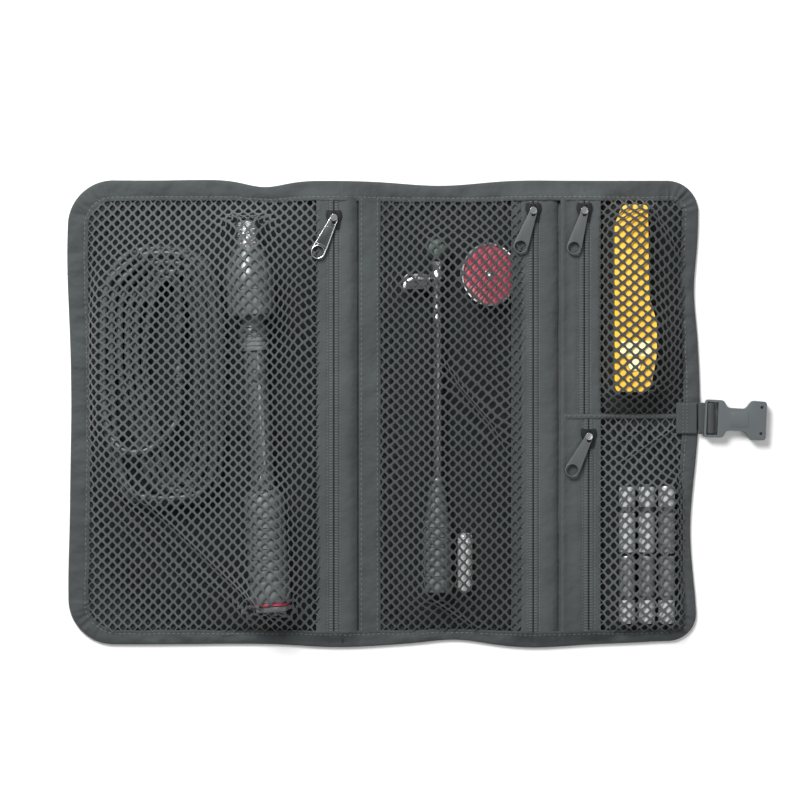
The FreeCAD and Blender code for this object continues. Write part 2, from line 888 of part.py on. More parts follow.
def lead():
    """The hank of thin lead: an oval ring with a bundle of turns crossing it, and its two plugs."""
    z = ("hank_low", "hank_top")
    ring = long_ring("HankRing", ("hank_left", "hank_right"), ("hank_foot", "hank_head"), "hank_band", z)
    outline = [
        ("bundle_head_left", "bundle_head"),
        ("bundle_foot_left", "bundle_foot"),
        ("bundle_foot_right", "bundle_foot"),
        ("bundle_head_right", "bundle_head"),
    ]
    bundle = slab("HankBundle", outline, *z)
    node("lead_coil", fuse("LeadHank", [ring, bundle]))
    for label, y in (("lead_plug_a", "lead_plug_far"), ("lead_plug_b", "lead_plug_near")):
        at = ("lead_plug_x", y, "hank_low + lead_plug_round")
        plug = cylinder(f"{label}Body", "lead_plug_round", "lead_plug_long", at, ALONG_Y)
        node(label, plug)


def on_probe(body):
    """Sets a turned piece on the probe's axis, tip first."""
    turn = about((0, 0, 1), 180 + size("probe_turn"))
    return put(body, "probe_tip_x", "probe_tip_y", "probe_height", turn)


def solid_of(stations):
    """The half section of a solid turned piece, from (distance, radius) stations."""
    first, last = stations[0][0], stations[-1][0]
    return [("0", first)] + [(radius, where) for where, radius in stations] + [("0", last)]


def tube_of(start, end, outer, inner):
    return [(inner, start), (outer, start), (outer, end), (inner, end)]


def probe():
    tip = solid_of([("0", "nose_round"), ("nose_shoulder", "tip_round"), ("nose_long", "tip_round")])
    node("probe_tip", on_probe(turned("ProbeTip", tip)))
    head = [
        ("0", "nose_long"),
        ("head_front", "nose_long"),
        ("head_round", "head_shoulder"),
        ("head_round", "head_end"),
        ("spigot_round + turn_clear", "head_end"),
        ("spigot_round + turn_clear", "head_socket"),
        ("0", "head_socket"),
    ]
    node("probe_head", on_probe(turned("ProbeHead", head)))
    collar = solid_of(
        [
            ("head_socket + turn_clear", "spigot_round"),
            ("head_end + turn_clear", "spigot_round"),
            ("head_end + turn_clear", "collar_neck"),
            ("collar_start", "collar_neck"),
            ("collar_start", "collar_round"),
            ("collar_end", "collar_round"),
        ]
    )
    node("probe_collar", on_probe(turned("ProbeCollar", collar)))
    barrel = on_probe(
        turned("ProbeBarrelTube", tube_of("collar_end", "barrel_end", "barrel_round", "barrel_bore"))
    )
    well = probe_upright("ProbeButtonWell", "button_round + turn_clear", "barrel_round", "1")
    node("probe_barrel", cut("ProbeBarrel", barrel, well))
    grip = tube_of("barrel_end", "grip_end", "grip_round", "grip_bore")
    node("probe_grip", on_probe(turned("ProbeGrip", grip)))
    ring = tube_of("grip_end", "ring_end", "ring_round", "ring_bore")
    node("probe_ring", on_probe(turned("ProbeRing", ring)))
    cap = solid_of(
        [("ring_end", "cap_round"), ("cap_end - cap_bevel", "cap_round"), ("cap_end", "cap_round - cap_bevel")]
    )
    node("probe_end_cap", on_probe(turned("ProbeCap", cap)))
    outline = rectangle(("-board_half", "board_half"), ("collar_end + 1", "barrel_end - 1"))
    node("probe_board", on_probe(slab("ProbeBoard", outline, "0", "board_thick")))
    button = probe_upright("ProbeButton", "button_round", "button_top", "button_depth")
    node("probe_button", button)


def probe_upright(name, round_by, top, low):
    """An upright cylinder that stands on the probe's axis at the button."""
    back = about((0, 0, 1), size("probe_turn")).multVec(FreeCAD.Vector(0, -1, 0))
    x = f"probe_tip_x + {back.x:.6f} * button_at"
    y = f"probe_tip_y + {back.y:.6f} * button_at"
    return cylinder(name, round_by, f"{top} - ({low})", (x, y, f"probe_height + {low}"))


def arm_tool():
    """A rod with a domed knob and a flat arm at one end and a waisted grip at the other."""
    x, z = "rod_x", "rod_height"
    knob = DOC.addObject("Part::Sphere", "RodKnob")
    bind(knob, Radius="rod_knob_round")
    node("rod_knob", put(knob, x, "rod_knob_y", z))
    neck_top = "rod_knob_y - rod_knob_round - knuckle_gap"
    knuckle = turned("RodKnuckle", solid_of([("rod_top", "knuckle_round"), (neck_top, "knuckle_neck")]))
    node("rod_knuckle", put(knuckle, x, "0", z))
    outline = rectangle(("-hook_long - hook_start", "-hook_start"), ("-hook_wide / 2", "hook_wide / 2"))
    arm = slab("RodHook", outline, "0", "hook_thick")
    turn = about((0, 0, 1), size("hook_turn"))
    node("rod_hook", put(arm, x, "rod_top + hook_up", "rod_height - hook_thick / 2", turn))
    shaft = cylinder("RodShaft", "rod_round", "rod_top - (rod_taper)", (x, "rod_taper", z), ALONG_Y)
    node("rod_shaft", shaft)
    taper = turned(
        "RodTaper",
        solid_of([(START, "rod_taper_round"), ("rod_taper - (rod_taper_end)", "rod_round")]),
    )
    node("rod_taper", put(taper, x, "rod_taper_end", z))
    long_by = "rod_taper_end - (rod_grip_end)"
    grip = turned(
        "RodGrip",
        solid_of(
            [
                (START, "rod_grip_round - rod_grip_bevel"),
                ("rod_grip_bevel", "rod_grip_round"),
                (long_by, "rod_grip_round"),
            ]
        ),
    )
    node("rod_grip", put(grip, x, "rod_grip_end", z))


def lens():
    """A round lens in a rim, leaning on the pocket's edge."""
    turn = about((0, 1, 0), size("lens_tilt")).multiply(about((1, 0, 0), 90))
    where = ("lens_x", "lens_y", "lens_height")
    half = "lens_thick / 2"
    for label, points in (
        ("lens_glass", solid_of([(f"0 - {half}", "lens_round"), (half, "lens_round")])),
        ("lens_rim", tube_of(f"0 - {half}", half, "lens_rim", "lens_round")),
    ):
        node(label, put(turned(f"{label}Turned", points), *where, turn))


def capsule():
    x, z = "capsule_x", "cover_thick + rest_gap + capsule_round"
    low, joint, top = "capsule_low", "capsule_joint", "capsule_top"
    body = turned(
        "CapsuleBody",
        solid_of(
            [
                (START, "capsule_round - capsule_bevel"),
                ("capsule_bevel", "capsule_round"),
                (f"{joint} - ({low})", "capsule_round"),
            ]
        ),
    )
    node("capsule_body", put(body, x, low, z))
    cap = turned(
        "CapsuleCap",
        solid_of(
            [
                (START, "capsule_round - cap_inset"),
                (f"{top} - ({joint})", "capsule_round - capsule_bevel"),
            ]
        ),
    )
    node("capsule_cap", put(cap, x, joint, z))


def wand_outline(wall):
    return [
        (f"wand_left + {wall}", f"wand_low + {wall}"),
        (f"wand_foot_x - {wall}", f"wand_low + {wall}"),
        (f"wand_right - {wall}", "wand_belly_low"),
        (f"wand_right - {wall}", "wand_belly_top"),
        (f"wand_neck_x - {wall}", "wand_neck_y"),
        (f"wand_neck_x - {wall}", f"wand_top - {wall}"),
        (f"wand_slant_x + {wall} / 2", f"wand_top - {wall}"),
        (f"wand_left + {wall}", f"wand_slant_y - {wall} / 2"),
    ]


def wand():
    """A moulded tester in two shells with a round key."""
    outer, inner = wand_outline("0"), wand_outline("wand_wall")
    back = slab("WandBack", outer, "wand_floor", "wand_joint")
    back_room = slab("WandBackRoom", inner, "wand_floor + wand_wall", "wand_joint + 1")
    node("wand_case_back", cut("WandCaseBack", back, back_room))
    front = slab("WandFront", outer, "wand_joint", "wand_front")
    front_room = slab("WandFrontRoom", inner, "wand_joint - 1", "wand_front - wand_wall")
    key = ("wand_button_x", "wand_button_y")
    key_low = "wand_front - wand_key_depth"
    key_hole = cylinder("WandKeyHole", "wand_button_round + turn_clear", PAST, (*key, key_low))
    voids = fuse("WandFrontVoid", [front_room, key_hole])
    node("wand_case_front", cut("WandCaseFront", front, voids))
    pressed = cylinder("WandKey", "wand_button_round", f"wand_button_top - ({key_low})", (*key, key_low))
    node("wand_button", pressed)
    board = box(
        "WandBoard",
        ("wand_left + wand_board_gap", "wand_foot_x - wand_board_gap"),
        ("wand_low + wand_board_gap", "wand_slant_y - wand_board_gap"),
        ("wand_board_low", "wand_board_low + board_thick"),
    )
    node("wand_board", board)


def spare_cells():
    """Six small round cells in two rows, each in its printed sleeve."""
    cans, sleeves = [], []
    z = "cover_thick + rest_gap + cell_sleeve"
    for row in range(2):
        low = f"cell_row_low + {row} * cell_row_pitch"
        for column in range(3):
            x = f"cell_first_x + {column} * cell_pitch"
            name = f"Cell{row}{column}"
            can = cylinder(f"{name}Can", "cell_round", "cell_long", (x, low, z), ALONG_Y)
            nub = cylinder(f"{name}Nub", "cell_nub", "cell_nub_long", (x, f"{low} + cell_long", z), ALONG_Y)
            cans.append(fuse(f"{name}Whole", [can, nub]))
            start = f"{low} + (cell_long - cell_sleeve_long) / 2"
            skin = cylinder(f"{name}Skin", "cell_sleeve", "cell_sleeve_long", (x, start, z), ALONG_Y)
            core = cylinder(f"{name}Core", "cell_round", "cell_sleeve_long", (x, start, z), ALONG_Y)
            sleeves.append(cut(f"{name}Sleeve", skin, core))
    node("spare_cells", group("SpareCells", cans))
    node("cell_sleeves", group("CellSleeves", sleeves))


# ---- build, check and write -----------------------------------------------------------------


def check_document():
    for thing in DOC.Objects:
        if "Invalid" in thing.State or "Error" in thing.State:
            raise RuntimeError(f"{thing.Name} failed: {thing.State}")
    for label, piece in NODES.items():
        if piece.Shape.isNull() or not piece.Shape.isValid() or not piece.Shape.Solids:
            raise RuntimeError(f"{label} has no valid solid")


def write_parts():
    os.makedirs("parts", exist_ok=True)
    for old in os.listdir("parts"):
        os.remove(os.path.join("parts", old))
    for label, piece in NODES.items():
        piece.Shape.exportStep(os.path.join("parts", f"{label}.step"))
        limits = piece.Shape.BoundBox
        print(
            f"{label}: {len(piece.Shape.Solids)} solid(s), x {limits.XMin:.1f} {limits.XMax:.1f}, "
            f"y {limits.YMin:.1f} {limits.YMax:.1f}, z {limits.ZMin:.2f} {limits.ZMax:.2f}"
        )


fill_sheet()
left_cover()
spine()
right_half()
mesh_pockets()
zips()
buckle_strap()
buckle_socket()
tail()
lead()
probe()
arm_tool()
lens()
capsule()
wand()
spare_cells()
DOC.recompute()
check_document()
write_parts()
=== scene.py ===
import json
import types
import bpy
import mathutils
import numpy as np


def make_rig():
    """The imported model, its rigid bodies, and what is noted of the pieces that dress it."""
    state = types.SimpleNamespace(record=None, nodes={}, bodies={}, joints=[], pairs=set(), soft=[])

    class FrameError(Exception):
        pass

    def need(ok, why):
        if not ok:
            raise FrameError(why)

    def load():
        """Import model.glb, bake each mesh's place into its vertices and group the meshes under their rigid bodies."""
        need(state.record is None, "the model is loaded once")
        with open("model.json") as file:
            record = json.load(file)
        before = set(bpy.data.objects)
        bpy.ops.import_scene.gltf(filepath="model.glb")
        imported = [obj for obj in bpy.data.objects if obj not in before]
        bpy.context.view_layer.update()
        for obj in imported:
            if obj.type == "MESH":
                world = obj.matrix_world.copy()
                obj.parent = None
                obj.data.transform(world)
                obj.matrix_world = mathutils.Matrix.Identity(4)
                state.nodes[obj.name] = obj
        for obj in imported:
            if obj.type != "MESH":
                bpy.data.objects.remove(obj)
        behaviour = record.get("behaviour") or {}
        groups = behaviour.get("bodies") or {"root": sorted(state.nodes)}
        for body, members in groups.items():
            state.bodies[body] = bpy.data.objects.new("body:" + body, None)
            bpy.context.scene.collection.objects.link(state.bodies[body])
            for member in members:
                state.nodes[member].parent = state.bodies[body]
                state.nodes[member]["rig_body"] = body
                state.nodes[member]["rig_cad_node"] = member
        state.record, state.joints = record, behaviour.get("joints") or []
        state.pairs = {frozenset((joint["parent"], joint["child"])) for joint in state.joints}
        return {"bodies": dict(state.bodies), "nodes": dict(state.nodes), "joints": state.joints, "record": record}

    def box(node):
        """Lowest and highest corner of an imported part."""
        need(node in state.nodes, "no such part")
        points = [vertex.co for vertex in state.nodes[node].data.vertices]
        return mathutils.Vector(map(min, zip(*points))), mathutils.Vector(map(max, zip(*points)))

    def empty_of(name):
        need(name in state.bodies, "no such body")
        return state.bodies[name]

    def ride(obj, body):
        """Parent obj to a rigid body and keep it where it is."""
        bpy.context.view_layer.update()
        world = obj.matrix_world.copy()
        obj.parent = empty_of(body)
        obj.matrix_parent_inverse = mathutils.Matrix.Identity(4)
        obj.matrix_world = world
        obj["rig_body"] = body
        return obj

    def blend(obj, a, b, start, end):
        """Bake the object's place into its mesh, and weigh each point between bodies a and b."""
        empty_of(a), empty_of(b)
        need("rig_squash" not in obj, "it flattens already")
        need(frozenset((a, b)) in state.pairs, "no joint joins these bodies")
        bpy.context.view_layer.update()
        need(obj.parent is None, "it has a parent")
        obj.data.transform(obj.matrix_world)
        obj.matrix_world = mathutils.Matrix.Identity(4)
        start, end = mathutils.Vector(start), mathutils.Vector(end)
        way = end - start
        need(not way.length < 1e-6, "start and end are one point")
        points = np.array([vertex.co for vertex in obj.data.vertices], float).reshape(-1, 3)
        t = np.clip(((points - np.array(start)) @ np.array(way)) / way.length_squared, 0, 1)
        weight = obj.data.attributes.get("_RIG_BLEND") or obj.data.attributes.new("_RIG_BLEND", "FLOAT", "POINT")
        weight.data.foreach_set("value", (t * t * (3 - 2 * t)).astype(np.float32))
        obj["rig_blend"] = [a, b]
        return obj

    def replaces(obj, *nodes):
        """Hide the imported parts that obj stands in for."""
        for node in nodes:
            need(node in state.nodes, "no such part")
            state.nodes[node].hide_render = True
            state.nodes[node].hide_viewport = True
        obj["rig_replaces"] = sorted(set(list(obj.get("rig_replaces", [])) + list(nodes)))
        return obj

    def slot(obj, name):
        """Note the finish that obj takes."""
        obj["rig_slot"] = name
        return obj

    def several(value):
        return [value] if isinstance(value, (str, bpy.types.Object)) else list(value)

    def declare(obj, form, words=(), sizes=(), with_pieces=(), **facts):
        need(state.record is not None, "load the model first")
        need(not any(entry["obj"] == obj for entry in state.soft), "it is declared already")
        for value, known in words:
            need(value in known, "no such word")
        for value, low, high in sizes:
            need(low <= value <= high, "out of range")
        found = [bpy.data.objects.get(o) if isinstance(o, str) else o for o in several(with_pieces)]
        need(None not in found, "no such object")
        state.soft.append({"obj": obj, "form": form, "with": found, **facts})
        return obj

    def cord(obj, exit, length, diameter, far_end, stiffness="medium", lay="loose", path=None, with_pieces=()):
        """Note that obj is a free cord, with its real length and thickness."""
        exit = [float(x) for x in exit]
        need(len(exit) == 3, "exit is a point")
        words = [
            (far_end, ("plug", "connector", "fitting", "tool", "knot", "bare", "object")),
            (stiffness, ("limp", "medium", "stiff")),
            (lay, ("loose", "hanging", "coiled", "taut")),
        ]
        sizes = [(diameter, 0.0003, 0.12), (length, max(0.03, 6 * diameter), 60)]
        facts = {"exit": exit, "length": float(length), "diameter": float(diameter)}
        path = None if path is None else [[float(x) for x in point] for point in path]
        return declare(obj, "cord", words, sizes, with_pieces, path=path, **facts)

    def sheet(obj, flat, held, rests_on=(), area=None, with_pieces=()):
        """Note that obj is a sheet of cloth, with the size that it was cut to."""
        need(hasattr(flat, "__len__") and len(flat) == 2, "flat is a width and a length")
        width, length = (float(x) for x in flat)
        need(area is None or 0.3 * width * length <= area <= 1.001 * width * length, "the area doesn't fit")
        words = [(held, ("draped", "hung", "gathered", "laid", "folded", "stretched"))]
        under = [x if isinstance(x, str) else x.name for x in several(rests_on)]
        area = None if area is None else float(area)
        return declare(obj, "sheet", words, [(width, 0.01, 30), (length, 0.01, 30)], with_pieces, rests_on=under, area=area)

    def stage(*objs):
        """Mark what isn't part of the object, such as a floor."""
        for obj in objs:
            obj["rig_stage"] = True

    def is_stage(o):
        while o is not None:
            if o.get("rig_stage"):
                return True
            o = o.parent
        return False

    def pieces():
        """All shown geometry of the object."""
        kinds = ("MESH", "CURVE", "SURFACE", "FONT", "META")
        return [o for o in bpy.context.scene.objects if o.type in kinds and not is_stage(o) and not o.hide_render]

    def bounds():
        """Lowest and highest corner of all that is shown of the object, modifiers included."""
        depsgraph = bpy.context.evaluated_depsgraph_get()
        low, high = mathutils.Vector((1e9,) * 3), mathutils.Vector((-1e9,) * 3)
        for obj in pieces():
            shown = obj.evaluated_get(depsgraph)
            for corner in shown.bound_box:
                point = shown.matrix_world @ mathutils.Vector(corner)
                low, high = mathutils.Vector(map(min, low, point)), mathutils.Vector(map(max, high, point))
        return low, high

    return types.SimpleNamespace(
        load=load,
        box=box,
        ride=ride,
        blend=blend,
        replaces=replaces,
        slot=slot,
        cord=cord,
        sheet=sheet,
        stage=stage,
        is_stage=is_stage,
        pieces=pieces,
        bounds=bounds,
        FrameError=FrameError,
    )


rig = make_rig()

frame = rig.load()

import json
import math

import bpy
import numpy as np
from mathutils import Matrix, Vector, noise
from mathutils.bvhtree import BVHTree
from mathutils.geometry import delaunay_2d_cdt

bl_info = {
    "name": "Zipped mesh organiser",
    "version": (1, 0, 0),
    "blender": (4, 5, 0),
    "location": "View3D > Sidebar > Organiser",
    "description": "Builds the cloth, nets, zips, buckle, lead and tools of a mesh tool organiser",
    "category": "Object",
}

MM = 0.001
CAD_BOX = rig.bounds()
JOINTS = {joint["name"]: joint for joint in frame["record"]["behaviour"]["joints"]}


# ---- places taken from the frame, in millimetres ---------------------------------------------


def span(*nodes):
    """The lowest and highest corner of these nodes together, in millimetres."""
    boxes = [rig.box(node) for node in nodes]
    low = [min(box[0][axis] for box in boxes) / MM for axis in range(3)]
    high = [max(box[1][axis] for box in boxes) / MM for axis in range(3)]
    return Vector(low), Vector(high)


def middle(*nodes):
    low, high = span(*nodes)
    return (low + high) / 2


def smooth_step(low, high, value):
    """0 below low, 1 above high and a smooth ramp between; it takes arrays too."""
    share = np.clip((value - low) / (high - low), 0, 1)
    return share * share * (3 - 2 * share)


EDGE_LOW, EDGE_HIGH = span("binding_left", "binding_spine", "binding_right")
CREASE_LEFT = span("cover_left")[1].x + 0.15
CREASE_RIGHT = span("cover_right")[0].x - 0.15
SPINE_MIDDLE = (CREASE_LEFT + CREASE_RIGHT) / 2
BEND = 12.0
CLOTH_LIFT = 5.3
GROUND = 1.85
LIFTS = [
    (CREASE_LEFT - 10, span("zip_tape_left")[0].x,
     span("zip_tape_left")[1].x - 7, span("zip_tape_left")[1].x + 2),
    (span("zip_tape_middle")[0].x - 15, span("zip_tape_middle")[0].x,
     span("zip_tape_upper")[1].x, span("zip_tape_upper")[1].x + 14),
]
# outward waves of the outer edge: a place, how far it goes out and how wide it is
EDGE_WAVES = [
    ((-222, 100), 1.8, 40),
    ((-222, 6), -0.8, 42),
    ((-222, -110), 1.0, 32),
    ((-98, 148), -4.2, 17),
    ((-130, 148), 0.6, 30),
    ((14, 148), -3.2, 34),
    ((62, 148), 0.4, 25),
    ((179, 78), -2.8, 26),
    ((179, 8), 1.0, 24),
    ((179, -76), -5.2, 44),
    ((-170, -148), 0.6, 44),
    ((-50, -148), 2.4, 34),
    ((24, -148), -2.6, 22),
    ((74, -148), 2.6, 32),
    ((160, -148), -1.2, 20),
]
ROUND_LEFT = 28.0
ROUND_RIGHT = 20.0


def lift(x):
    """How far the pocket edge is raised beside the zips."""
    total = 0
    for rise, full, fall, end in LIFTS:
        total = total + CLOTH_LIFT * smooth_step(rise, full, x) * (1 - smooth_step(fall, end, x))
    return total


def wave(point):
    return sum(out * math.exp(-(point - Vector(place)).length_squared / wide**2)
        for place, out, wide in EDGE_WAVES)


def ripple(x, y, z=0.0):
    """Smooth noise between about -1 and 1 that is the same on every run."""
    return noise.noise(Vector((x, y, z)))


# ---- shaders ----------------------------------------------------------------------------------


class Value:
    """A socket that adds and multiplies as a number does, making Math nodes as it goes."""

    def __init__(self, finish, socket):
        self.finish = finish
        self.socket = socket

    def math(self, operation, *values):
        node = self.finish.node("ShaderNodeMath", {"operation": operation}, dict(enumerate(values)))
        return Value(self.finish, node.outputs[0])

    def __add__(self, other):
        return self.math("ADD", self, other)

    def __sub__(self, other):
        return self.math("SUBTRACT", self, other)

    def __rsub__(self, other):
        return self.math("SUBTRACT", other, self)

    def __mul__(self, other):
        return self.math("MULTIPLY", self, other)

    def sine(self):
        return self.math("SINE", self)

    def clamp(self):
        return self.math("MINIMUM", self.math("MAXIMUM", self, 0.0), 1.0)

    __radd__ = __add__
    __rmul__ = __mul__


class Finish:
    """A material being made: its Principled shader, and the patterns that feed it."""

    def __init__(self, name, colour, rough, **constants):
        self.material = bpy.data.materials.new(name)
        self.material.use_nodes = True
        self.material.diffuse_color = (*colour, 1)
        self.tree = self.material.node_tree
        self.shader = next(node for node in self.tree.nodes if node.type == "BSDF_PRINCIPLED")
        self.colour = colour
        self.shader.inputs["Base Color"].default_value = (*colour, 1)
        self.shader.inputs["Roughness"].default_value = rough
        for socket, value in constants.items():
            self.shader.inputs[socket.replace("_", " ")].default_value = value
        self.place = self.node("ShaderNodeTexCoord", {}, {}).outputs["Object"]

    def node(self, kind, settings, values):
        made = self.tree.nodes.new(kind)
        for name, setting in settings.items():
            setattr(made, name, setting)
        for key, value in values.items():
            if isinstance(value, Value):
                value = value.socket
            if isinstance(value, bpy.types.NodeSocket):
                self.tree.links.new(value, made.inputs[key])
            else:
                made.inputs[key].default_value = value
        return made

    def link(self, socket, value):
        self.tree.links.new(value.socket if isinstance(value, Value) else value, self.shader.inputs[socket])

    def axes(self):
        parts = self.node("ShaderNodeSeparateXYZ", {}, {0: self.place})
        return [Value(self, output) for output in parts.outputs]

    def grain(self, scale, detail=3.0):
        """Noise between 0 and 1, with this many patches to the metre."""
        made = self.node("ShaderNodeTexNoise", {}, {"Vector": self.place, "Scale": scale, "Detail": detail})
        return Value(self, made.outputs[0])

    def mix(self, share, first, second):
        """A blend of two colours, each a tuple or a socket."""
        colours = [(*c, 1) if isinstance(c, tuple) else c for c in (first, second)]
        made = self.node("ShaderNodeMix", {"data_type": "RGBA"}, {0: share, 6: colours[0], 7: colours[1]})
        return made.outputs[2]

    def bump(self, height, depth, strength=1.0):
        """Height times depth, in metres, tilts the surface."""
        made = self.node("ShaderNodeBump", {}, {"Strength": strength, "Distance": depth, "Height": height})
        self.link("Normal", made.outputs[0])

    def tinted(self, share, other):
        """The base colour goes towards another as share goes from 0 to 1."""
        self.link("Base Color", self.mix(share, self.colour, other))


def scaled(colour, factor):
    return tuple(channel * factor for channel in colour)


def woven(name, colour, threads, depth, rough=0.85, sheen=0.2, crumple=0.0):
    """Plain cloth: crossing threads, fluff, slow fading and soft crumples this deep."""
    finish = Finish(name, colour, rough, Sheen_Weight=sheen, Sheen_Roughness=0.45, Specular_IOR_Level=0.3)
    x, y = finish.axes()[:2]
    turns = 2 * math.pi * threads
    crossing = (x * turns).sine() * (y * turns).sine()
    slow = finish.grain(32.0)
    fluff = finish.grain(1400.0, 2.0)
    height = crossing * 0.5 + fluff * 0.6
    if crumple:
        height = height + finish.grain(95.0, 2.5) * (crumple / depth)
    finish.bump(height, depth)
    finish.tinted((slow * 0.9 + fluff * 0.4 + crossing * 0.1 - 0.15).clamp(), scaled(colour, 1.9))
    finish.link("Roughness", (fluff * 0.2 + (rough - 0.1)).clamp())
    return finish.material


def moulded(name, colour, rough, grain=1800.0, depth=0.00004, **constants):
    """Moulded plastic or rubber with a fine spark-eroded grain and rubbed patches."""
    finish = Finish(name, colour, rough, **constants)
    fine = finish.grain(grain, 2.0)
    rubbed = finish.grain(45.0, 4.0)
    finish.bump(fine, depth)
    finish.link("Roughness", (rubbed * 0.25 + (rough - 0.12)).clamp())
    finish.tinted((rubbed * 0.5).clamp(), scaled(colour, 1.5))
    return finish.material


def metal(name, colour, rough, scratch=0.12):
    """Metal with faint brushed lines and duller handled patches."""
    finish = Finish(name, colour, rough, Metallic=1.0)
    lines = finish.grain(2600.0, 2.0)
    patches = finish.grain(120.0, 3.0)
    finish.bump(lines, 0.000012)
    finish.link("Roughness", (patches * scratch * 2 + lines * scratch + (rough - scratch)).clamp())
    finish.tinted((patches * 0.6).clamp(), scaled(colour, 0.72))
    return finish.material


def knitted(name, colour):
    """The twisted yarn of the net."""
    finish = Finish(name, colour, 0.8, Sheen_Weight=0.3, Sheen_Roughness=0.4, Specular_IOR_Level=0.3)
    x, y = finish.axes()[:2]
    twist = ((x + y) * 9000.0).sine() * 0.5 + ((x - y) * 9000.0).sine() * 0.5
    fluff = finish.grain(2200.0, 2.0)
    slow = finish.grain(35.0)
    finish.bump(twist + fluff, 0.00009)
    finish.tinted((fluff * 0.6 + slow * 0.45).clamp(), scaled(colour, 1.9))
    return finish.material


# ---- meshes -----------------------------------------------------------------------------------


def piece(name, vertices, faces, material=None, smooth=True):
    """A new mesh object from vertices in millimetres."""
    mesh = bpy.data.meshes.new(name)
    mesh.from_pydata([tuple(c * MM for c in vertex) for vertex in vertices], [], faces)
    made = bpy.data.objects.new(name, mesh)
    bpy.context.scene.collection.objects.link(made)
    if smooth:
        mesh.shade_smooth()
    if material:
        mesh.materials.append(material)
    return made


def modify(made, kind, **settings):
    modifier = made.modifiers.new(kind.title(), kind)
    for name, value in settings.items():
        setattr(modifier, name, value)
    return modifier


def apply_stack(made, sharp=None):
    """Apply the modifiers, and mark edges steeper than sharp degrees."""
    graph = bpy.context.evaluated_depsgraph_get()
    mesh = bpy.data.meshes.new_from_object(made.evaluated_get(graph))
    made.modifiers.clear()
    made.data = mesh
    mesh.shade_smooth()
    if sharp:
        mesh.set_sharp_from_angle(angle=math.radians(sharp))
    return made


def place(made, matrix):
    """Put a finished mesh where it belongs; the object stays at the origin."""
    shift = matrix.copy()
    shift.translation = shift.translation * MM
    made.data.transform(shift)
    made.data.update()
    return made


def settle(made, body, slot, *nodes):
    """Let a piece ride on its body, take its finish and stand for its nodes."""
    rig.ride(made, body)
    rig.slot(made, slot)
    if nodes:
        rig.replaces(made, *nodes)
    return made


def cross(made, bodies, crease, slot, *nodes):
    """Let cloth bend over one crease."""
    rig.blend(made, *bodies, ((crease - BEND) * MM, 0, 0), ((crease + BEND) * MM, 0, 0))
    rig.slot(made, slot)
    if nodes:
        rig.replaces(made, *nodes)
    return made


def over_left(made, slot, *nodes):
    return cross(made, ("left_half", "spine"), CREASE_LEFT, slot, *nodes)


def over_right(made, slot, *nodes):
    return cross(made, ("spine", "right_half"), CREASE_RIGHT, slot, *nodes)


def joined(name, parts):
    """One object from several, whose first gives the place."""
    vertices, faces, slots, materials, smooth = [], [], [], [], []
    for part in parts:
        start = len(vertices)
        base = len(materials)
        materials.extend(part.data.materials)
        vertices.extend(tuple(v.co / MM) for v in part.data.vertices)
        for face in part.data.polygons:
            faces.append([start + i for i in face.vertices])
            slots.append(base + face.material_index)
            smooth.append(face.use_smooth)
        bpy.data.objects.remove(part)
    made = piece(name, vertices, faces)
    for material in materials:
        made.data.materials.append(material)
    made.data.polygons.foreach_set("material_index", slots)
    made.data.polygons.foreach_set("use_smooth", smooth)
    return made


def grid(name, columns, rows, height, material=None, thick=0.5):
    """Cloth over a grid of x and y places, with its wall below height(x, y)."""
    vertices = [(x, y, height(x, y)) for y in rows for x in columns]
    wide = len(columns)
    faces = [
        (r * wide + c, r * wide + c + 1, (r + 1) * wide + c + 1, (r + 1) * wide + c)
        for r in range(len(rows) - 1)
        for c in range(wide - 1)
    ]
    made = piece(name, vertices, faces, material)
    modify(made, "SOLIDIFY", thickness=thick * MM, offset=-1)
    return apply_stack(made, 50)


def steps(low, high, pitch):
    count = max(1, round((high - low) / pitch))
    return [low + (high - low) * i / count for i in range(count + 1)]


def turned(name, profile, material, sides=48, sharp=35, bevel=0.0):
    """A round part from (radius, height) points that run from its top to its bottom."""
    mesh = bpy.data.meshes.new(name)
    points = [(max(radius, 0.0) * MM, 0, height * MM) for radius, height in profile]
    mesh.from_pydata(points, [(i, i + 1) for i in range(len(points) - 1)], [])
    made = bpy.data.objects.new(name, mesh)
    bpy.context.scene.collection.objects.link(made)
    modify(
        made, "SCREW", steps=sides, render_steps=sides,
        use_merge_vertices=True, merge_threshold=1e-5, use_smooth_shade=True
    )
    if bevel:
        modify(made, "BEVEL", width=bevel * MM, segments=2, limit_method="ANGLE",
            angle_limit=math.radians(30))
    apply_stack(made, sharp)
    made.data.materials.append(material)
    return made


def inside(point, ring):
    """Whether the point is inside a ring of (x, y) points."""
    within = False
    for (ax, ay), (bx, by) in zip(ring, ring[1:] + ring[:1]):
        if (ay > point.y) != (by > point.y) and point.x < ax + (bx - ax) * (point.y - ay) / (by - ay):
            within = not within
    return within


